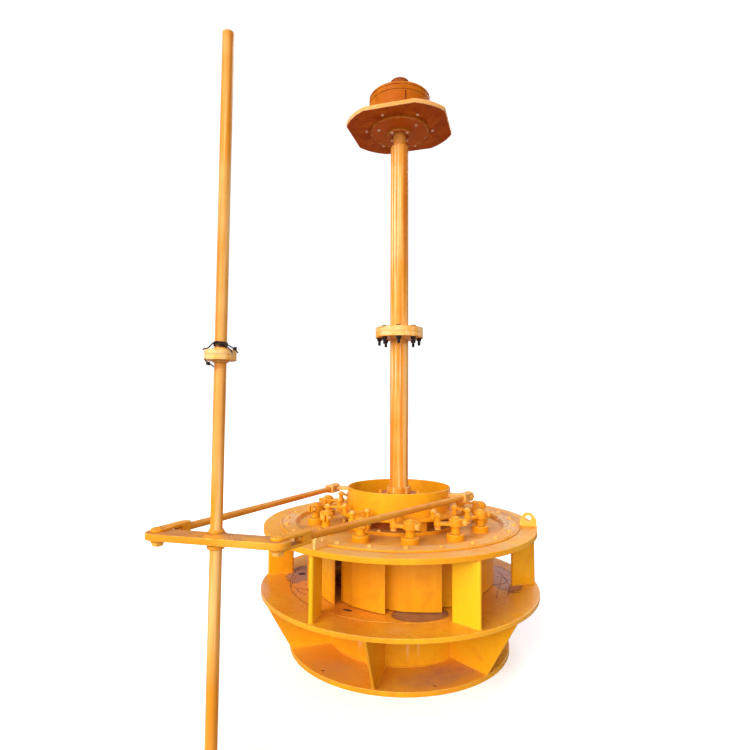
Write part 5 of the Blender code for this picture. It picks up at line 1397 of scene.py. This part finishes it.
rod = {"radius": 0.0165, "sides": 24, "lap": 0.006, "thread": 0.0090, "threadSides": 16, "threadIn": 0.021,
       "threadOut": 0.004, "eye": 0.029, "neck": 0.022, "neckIn": 0.0008, "length": 0.150, "forkSteps": 16,
       "forkPoints": 96, "forkEdge": 0.0025, "throat": 0.113, "throatLap": 0.004, "cheek": 0.012,
       "play": 0.0004, "pinPlay": 0.0006, "nut": (0.0140, 0.016), "clevis": 0.090, "slot": 0.060,
       "clevisHalf": 0.028, "wall": 0.014, "earGap": 0.0005, "backIn": (0.001, 0.003), "backOut": 0.0005,
       "pin": 0.010, "pinOut": 0.0195, "pinEdge": 0.0015, "pinHead": (0.0155, 0.0050, 1.15),
       "pinTail": (0.0150, 0.0050, 1.15)}


def makeGovernorShafts():
    top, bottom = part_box("governor_upper_shaft")[1].z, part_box("governor_lower_shaft")[0].z
    r, flange, rise = governor["radius"], governor["coupling"], governor["filletRise"]
    low, high, (wide, narrow) = governor["low"], governor["high"], governor["fillet"]
    under, over = governor["middle"] - touch, governor["middle"] + touch
    lower = [(0.0, under), (flange, under), (flange, low), (r + wide, low), (r + narrow, low - rise * 2),
             (r, low - rise * 3), (r, bottom), (0.0, bottom)]
    upper = [(0.0, top), (r, top), (r, high + rise * 3), (r + narrow, high + rise * 2), (r + wide, high),
             (flange, high), (flange, over), (0.0, over)]
    for name, node, profile in (("governorLowerShaft", "governor_lower_shaft", lower),
                                ("governorUpperShaft", "governor_upper_shaft", upper)):
        makePiece(name, [(turned(profile, governor["edge"], fineSteps), "shaft")], "governor", [node],
                  place=governorAxis)


def makeFoot():
    bore, inside = governor["radius"] + slip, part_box("governor_lower_shaft")[0].z - footBearing["gap"]
    outer, level, fillet = footBearing["radius"], footBearing["thick"], footBearing["fillet"]
    boss, top = footBearing["boss"], footBearing["bossTop"]
    profile = [(0.0, inside), (bore, inside), (bore, top), (boss, top), (boss, level + fillet),
               (boss + fillet, level), (outer, level), (outer, 0.0), (0.0, 0.0)]
    angles = evenly(footBearing["bolts"], footBearing["firstBolt"])
    bolts = boltCircle(footBearing["bolt"], footBearing["boltCircle"], angles, level)
    makePiece("governorFoot", [(turned(profile, footBearing["edge"], fineSteps), "lever"), (bolts, "bolt")],
              "root", ["governor_foot_bearing"], place=governorAxis)


def makeCrossLever():
    low, high, bore = cross["low"], cross["high"], governor["radius"] + cross["boreGap"]
    outline, core = barOutline(2 * cross["arm"], cross["half"], cross["half"], cross["endSteps"])
    bar = moved(plateShell(outline, core, low, high, cross["edge"]), (-cross["arm"], 0.0, 0.0))
    above = [(radius, high + rise) for radius, rise in cross["hubAbove"]]
    below = [(radius, low + rise) for radius, rise in cross["hubBelow"]]
    hub = turned([(bore, above[0][1]), *above, *below, (bore, below[-1][1])], cross["hubBends"], fineSteps,
                 ring=True)
    ends = np.array([[cross["arm"], 0.0, 0.0], [-cross["arm"], 0.0, 0.0]])
    forkTop, forkLow = high + rod["play"] + rod["cheek"], low - rod["play"] - rod["cheek"]
    pins = copied(barrel(cross["pin"], cross["pinLow"], cross["pinTop"], cross["pinEdge"]), ends)
    washer = ringShell(cross["pin"] - cross["washerIn"], cross["washer"], forkTop + cross["washerLow"],
                       forkTop + cross["washerTop"], cross["washerEdge"], smallSteps)
    nut = moved(nutShell(*cross["nut"]), (0.0, 0.0, forkLow - cross["nutGap"]), upsideDown)
    splint = tubeShell(cross["splint"], cross["splintRadius"], cross["splintSides"])
    splints = copied(splint, ends + [0.0, 0.0, cross["pinTop"] - cross["splintDown"]])
    shells = [(bar, "crossBar"), (hub, "crossBar"), (joined(pins, copied(washer, ends)), "lever"),
              (copied(nut, ends), "bolt"), (splints, "wire")]
    turn = turnZ(headingOf(cross["way"]))
    makePiece("crossLever", [(moved(shell, turn=turn), paint) for shell, paint in shells], "governor",
              ["cross_lever"], place=governorAxis)


def forkShells():
    # Cheeks above and below the cross-lever's end, and the block between them that holds the rod
    low, high = cross["low"] - rod["play"], cross["high"] + rod["play"]
    outline, _ = barOutline(rod["length"], rod["eye"], rod["neck"], rod["forkSteps"])
    outline = respaced(outline, rod["forkPoints"])
    hole, cheek, edge = cross["pin"] + rod["pinPlay"], rod["cheek"], rod["forkEdge"]
    upper = holedShell(outline, (0.0, 0.0), hole, high, high + cheek, edge)
    lower = holedShell(outline, (0.0, 0.0), hole, low - cheek, low, edge)
    block = tongueShell(rod["throat"], rod["length"], rod["neck"] - rod["neckIn"], low - rod["throatLap"],
                        high + rod["throatLap"])
    return joined(upper, lower, block)


def rodShells(length):
    # Along +X from the pin in the cross-lever's end: fork with the rod's nut in it, round bar, and clevis
    low, top, throatAt = ring["earLow"], ring["earTop"], rod["throat"]
    level, earLevel = (cross["low"] + cross["high"]) / 2, (low + top) / 2
    start, half, wall = length - rod["clevis"], rod["clevisHalf"], rod["wall"]
    threadPath = np.linspace([throatAt - rod["threadIn"], 0.0, level],
                             [throatAt + rod["threadOut"], 0.0, level], 6)
    thread = tubeShell(threadPath, rod["thread"], rod["threadSides"], guide=upwards)
    barPath = np.linspace([rod["length"], 0.0, level], [start + rod["lap"], 0.0, earLevel], 24)
    bar = tubeShell(barPath, rod["radius"], rod["sides"], guide=upwards)
    nut = moved(nutShell(*rod["nut"]), (throatAt - rod["nut"][1], 0.0, level), lying)
    upper = tongueShell(start, length, half, top + rod["earGap"], top + wall)
    lower = tongueShell(start, length, half, low - wall, low - rod["earGap"])
    deep, (sideIn, faceIn) = rod["clevis"] - rod["slot"], rod["backIn"]
    back = blockShell((deep, 2 * half - sideIn, top - low + 2 * wall - faceIn),
                      (start + deep / 2 + rod["backOut"], 0.0, earLevel))
    pin = barrel(rod["pin"], low - rod["pinOut"], top + rod["pinOut"], rod["pinEdge"],
                 place=(length, 0.0, 0.0))
    head = moved(nutShell(*rod["pinHead"]), (length, 0.0, top + wall))
    tail = moved(nutShell(*rod["pinTail"]), (length, 0.0, low - wall), upsideDown)
    return joined(thread, bar), forkShells(), joined(upper, lower, back, pin), joined(nut, head, tail)


def makeRod(side, sign):
    pinEnd = governorAxis + sign * cross["arm"] * unit(np.array([*cross["way"], 0.0]))
    earEnd = turbineAxis + sign * ring["ear"] * unit(np.array([*ring["earWay"], 0.0]))
    way = earEnd - pinEnd
    shells = zip(rodShells(float(np.linalg.norm(way))), ("rod", "lever", "dusty", "bolt"))
    turn = turnZ(headingOf(way))
    makePiece(f"pushRod{side.title()}", [(moved(shell, turn=turn), paint) for shell, paint in shells],
              f"rod_{side}", [f"push_rod_{side}"], place=pinEnd)


# Heights are counted from the coupling's top, and from its underside for what lies below it
wires = {"radius": 0.0026, "sides": 7, "coil": 0.0265, "turns": 4, "turnPoints": 40, "pitch": 0.0052,
         "wander": (0.0012, 1.7, 0.6), "coilRise": 0.0135, "knotPoints": 48, "over": (
             [(-0.010, -0.028, 0.031), (-0.023, -0.025, 0.027), (-0.031, -0.030, 0.017),
              (-0.038, -0.036, 0.007), (-0.047, -0.039, 0.003), (-0.058, -0.031, 0.003),
              (-0.066, -0.016, 0.001)],
             [(0.006, -0.029, 0.032), (0.022, -0.025, 0.027), (0.040, -0.028, 0.017), (0.056, -0.032, 0.007),
              (0.070, -0.034, -0.003), (0.080, -0.034, -0.014)],
             [(0.010, -0.028, 0.027), (0.026, -0.030, 0.019), (0.042, -0.042, 0.006), (0.054, -0.046, -0.004),
              (0.058, -0.042, -0.014)]),
         "under": [(-0.050, -0.042, 0.003), (-0.043, -0.046, -0.007), (-0.034, -0.046, -0.012),
                   (-0.024, -0.042, -0.020), (-0.015, -0.036, -0.028)],
         "knot": ((0.067, -0.034, -0.002), (0.0055, 0.0045, 0.0008)),
         "lowKnot": ((-0.035, -0.046, -0.010), (0.0060, 0.0045, -0.0009))}


def knotPath(centre, size, level):
    # Two turns of wire: (x + a cos t, y + b sin t, z + c t)
    (x, y, z), (wide, deep, rise) = centre, size
    t = np.linspace(0.0, 4 * math.pi, wires["knotPoints"])
    return np.stack([x + wide * np.cos(t), y + deep * np.sin(t), level + z + rise * t], 1)


def makeWires():
    # Iron wire wound on the shaft above its coupling, with strands over the rim, two knots and loose ends.
    # The coil is (R sin t, -R cos t, z + pitch t / 2 pi), where R and z wander as a sine of t
    top, low = governor["high"], governor["low"]
    t = np.linspace(0.0, 2 * math.pi * wires["turns"], wires["turnPoints"] * wires["turns"])
    swing, rate, shift = wires["wander"]
    wander = swing * np.sin(t * rate + shift)
    radius = wires["coil"] + wander
    height = top + wires["coilRise"] + wires["pitch"] * t / (2 * math.pi) + wander
    paths = [np.stack([radius * np.sin(t), -radius * np.cos(t), height], 1),
             knotPath(*wires["knot"], top), knotPath(*wires["lowKnot"], low)]
    paths += [smoothPath(np.array(strand) + [0.0, 0.0, top]) for strand in wires["over"]]
    paths.append(smoothPath(np.array(wires["under"]) + [0.0, 0.0, low]))
    strands = joined(*[tubeShell(path, wires["radius"], wires["sides"]) for path in paths])
    makePiece("bindingWire", [(strands, "wire")], "governor", place=governorAxis)


makeGovernorShafts()
makeFoot()
makeCrossLever()
makeRod("right", 1)
makeRod("left", -1)
makeWires()
print("governor gear made")


# Camera, floor and light

white = (1.0, 1.0, 1.0, 1.0)
studio = {"floor": (0.92, 0.92, 0.92, 1.0), "bounce": (0.42, 0.41, 0.39, 1.0), "lift": 0.34, "reach": 40.0,
          "rough": 0.9, "behind": 1.05, "sky": 0.34,
          "key": {"heading": -40.0, "height": 27.0, "power": 3.3, "spread": 50.0, "tone": (1.0, 0.975, 0.94)},
          "front": {"heading": 6.0, "height": 16.0, "power": 1.2, "spread": 40.0, "tone": (1.0, 0.98, 0.95)},
          "back": {"heading": 148.0, "height": 38.0, "power": 1.5, "spread": 30.0, "tone": (0.97, 0.98, 1.0)}}
view = {"place": (-0.0415, -3.0796, 1.454), "pitch": 3.62, "roll": 0.3, "lens": 24.57, "sensor": 36.0}


def addSun(name, heading, height, power, spread, tone):
    # A broad, even light from a heading measured from the front and a height above the floor, both in degrees
    light = bpy.data.lights.new(name, "SUN")
    light.energy, light.angle, light.color = power, math.radians(spread), tone
    addObject(name, light).matrix_world = (Matrix.Rotation(math.radians(heading), 4, "Z")
                                           @ Matrix.Rotation(math.radians(90.0 - height), 4, "X"))


def floorMaterial():
    # Pale to look at, and darker to the light that it throws back up at the set
    material, tree, shader = newMaterial("paleFloor")
    seen = addNode(tree, "ShaderNodeLightPath").outputs["Is Camera Ray"]
    plug(tree, shader, {"Base Color": mixed(tree, seen, studio["bounce"], studio["floor"]),
                        "Roughness": studio["rough"], "Specular IOR Level": 0.0, "Emission Color": white,
                        "Emission Strength": times(tree, seen, studio["lift"])})
    return material


def makeStage():
    reach = studio["reach"]
    mesh = bpy.data.meshes.new("floor")
    mesh.from_pydata([(-reach, -reach, 0.0), (reach, -reach, 0.0), (reach, reach, 0.0), (-reach, reach, 0.0)],
                     [], [(0, 1, 2, 3)])
    mesh.materials.append(floorMaterial())
    floor = addObject("floor", mesh)


def makeCamera():
    camera = bpy.data.cameras.new("camera")
    camera.lens, camera.sensor_width = view["lens"], view["sensor"]
    obj = addObject("camera", camera)
    obj.matrix_world = (Matrix.Translation(view["place"])
                        @ Matrix.Rotation(math.radians(90.0 + view["pitch"]), 4, "X")
                        @ Matrix.Rotation(math.radians(view["roll"]), 4, "Z"))
    bpy.context.scene.camera = obj


def makeLight():
    # White behind the set, and a softer sky for the light that reaches it
    world = bpy.data.worlds.new("paleRoom")
    world.use_nodes = True
    tree = world.node_tree
    seen = addNode(tree, "ShaderNodeLightPath").outputs["Is Camera Ray"]
    strength = plus(tree, times(tree, seen, studio["behind"] - studio["sky"]), studio["sky"])
    plug(tree, tree.nodes["Background"], {"Color": white, "Strength": strength})
    bpy.context.scene.world = world
    bpy.context.scene.view_settings.view_transform = "Standard"
    for key in ("key", "front", "back"):
        addSun(key + "Light", **studio[key])


makeStage()
makeCamera()
makeLight()
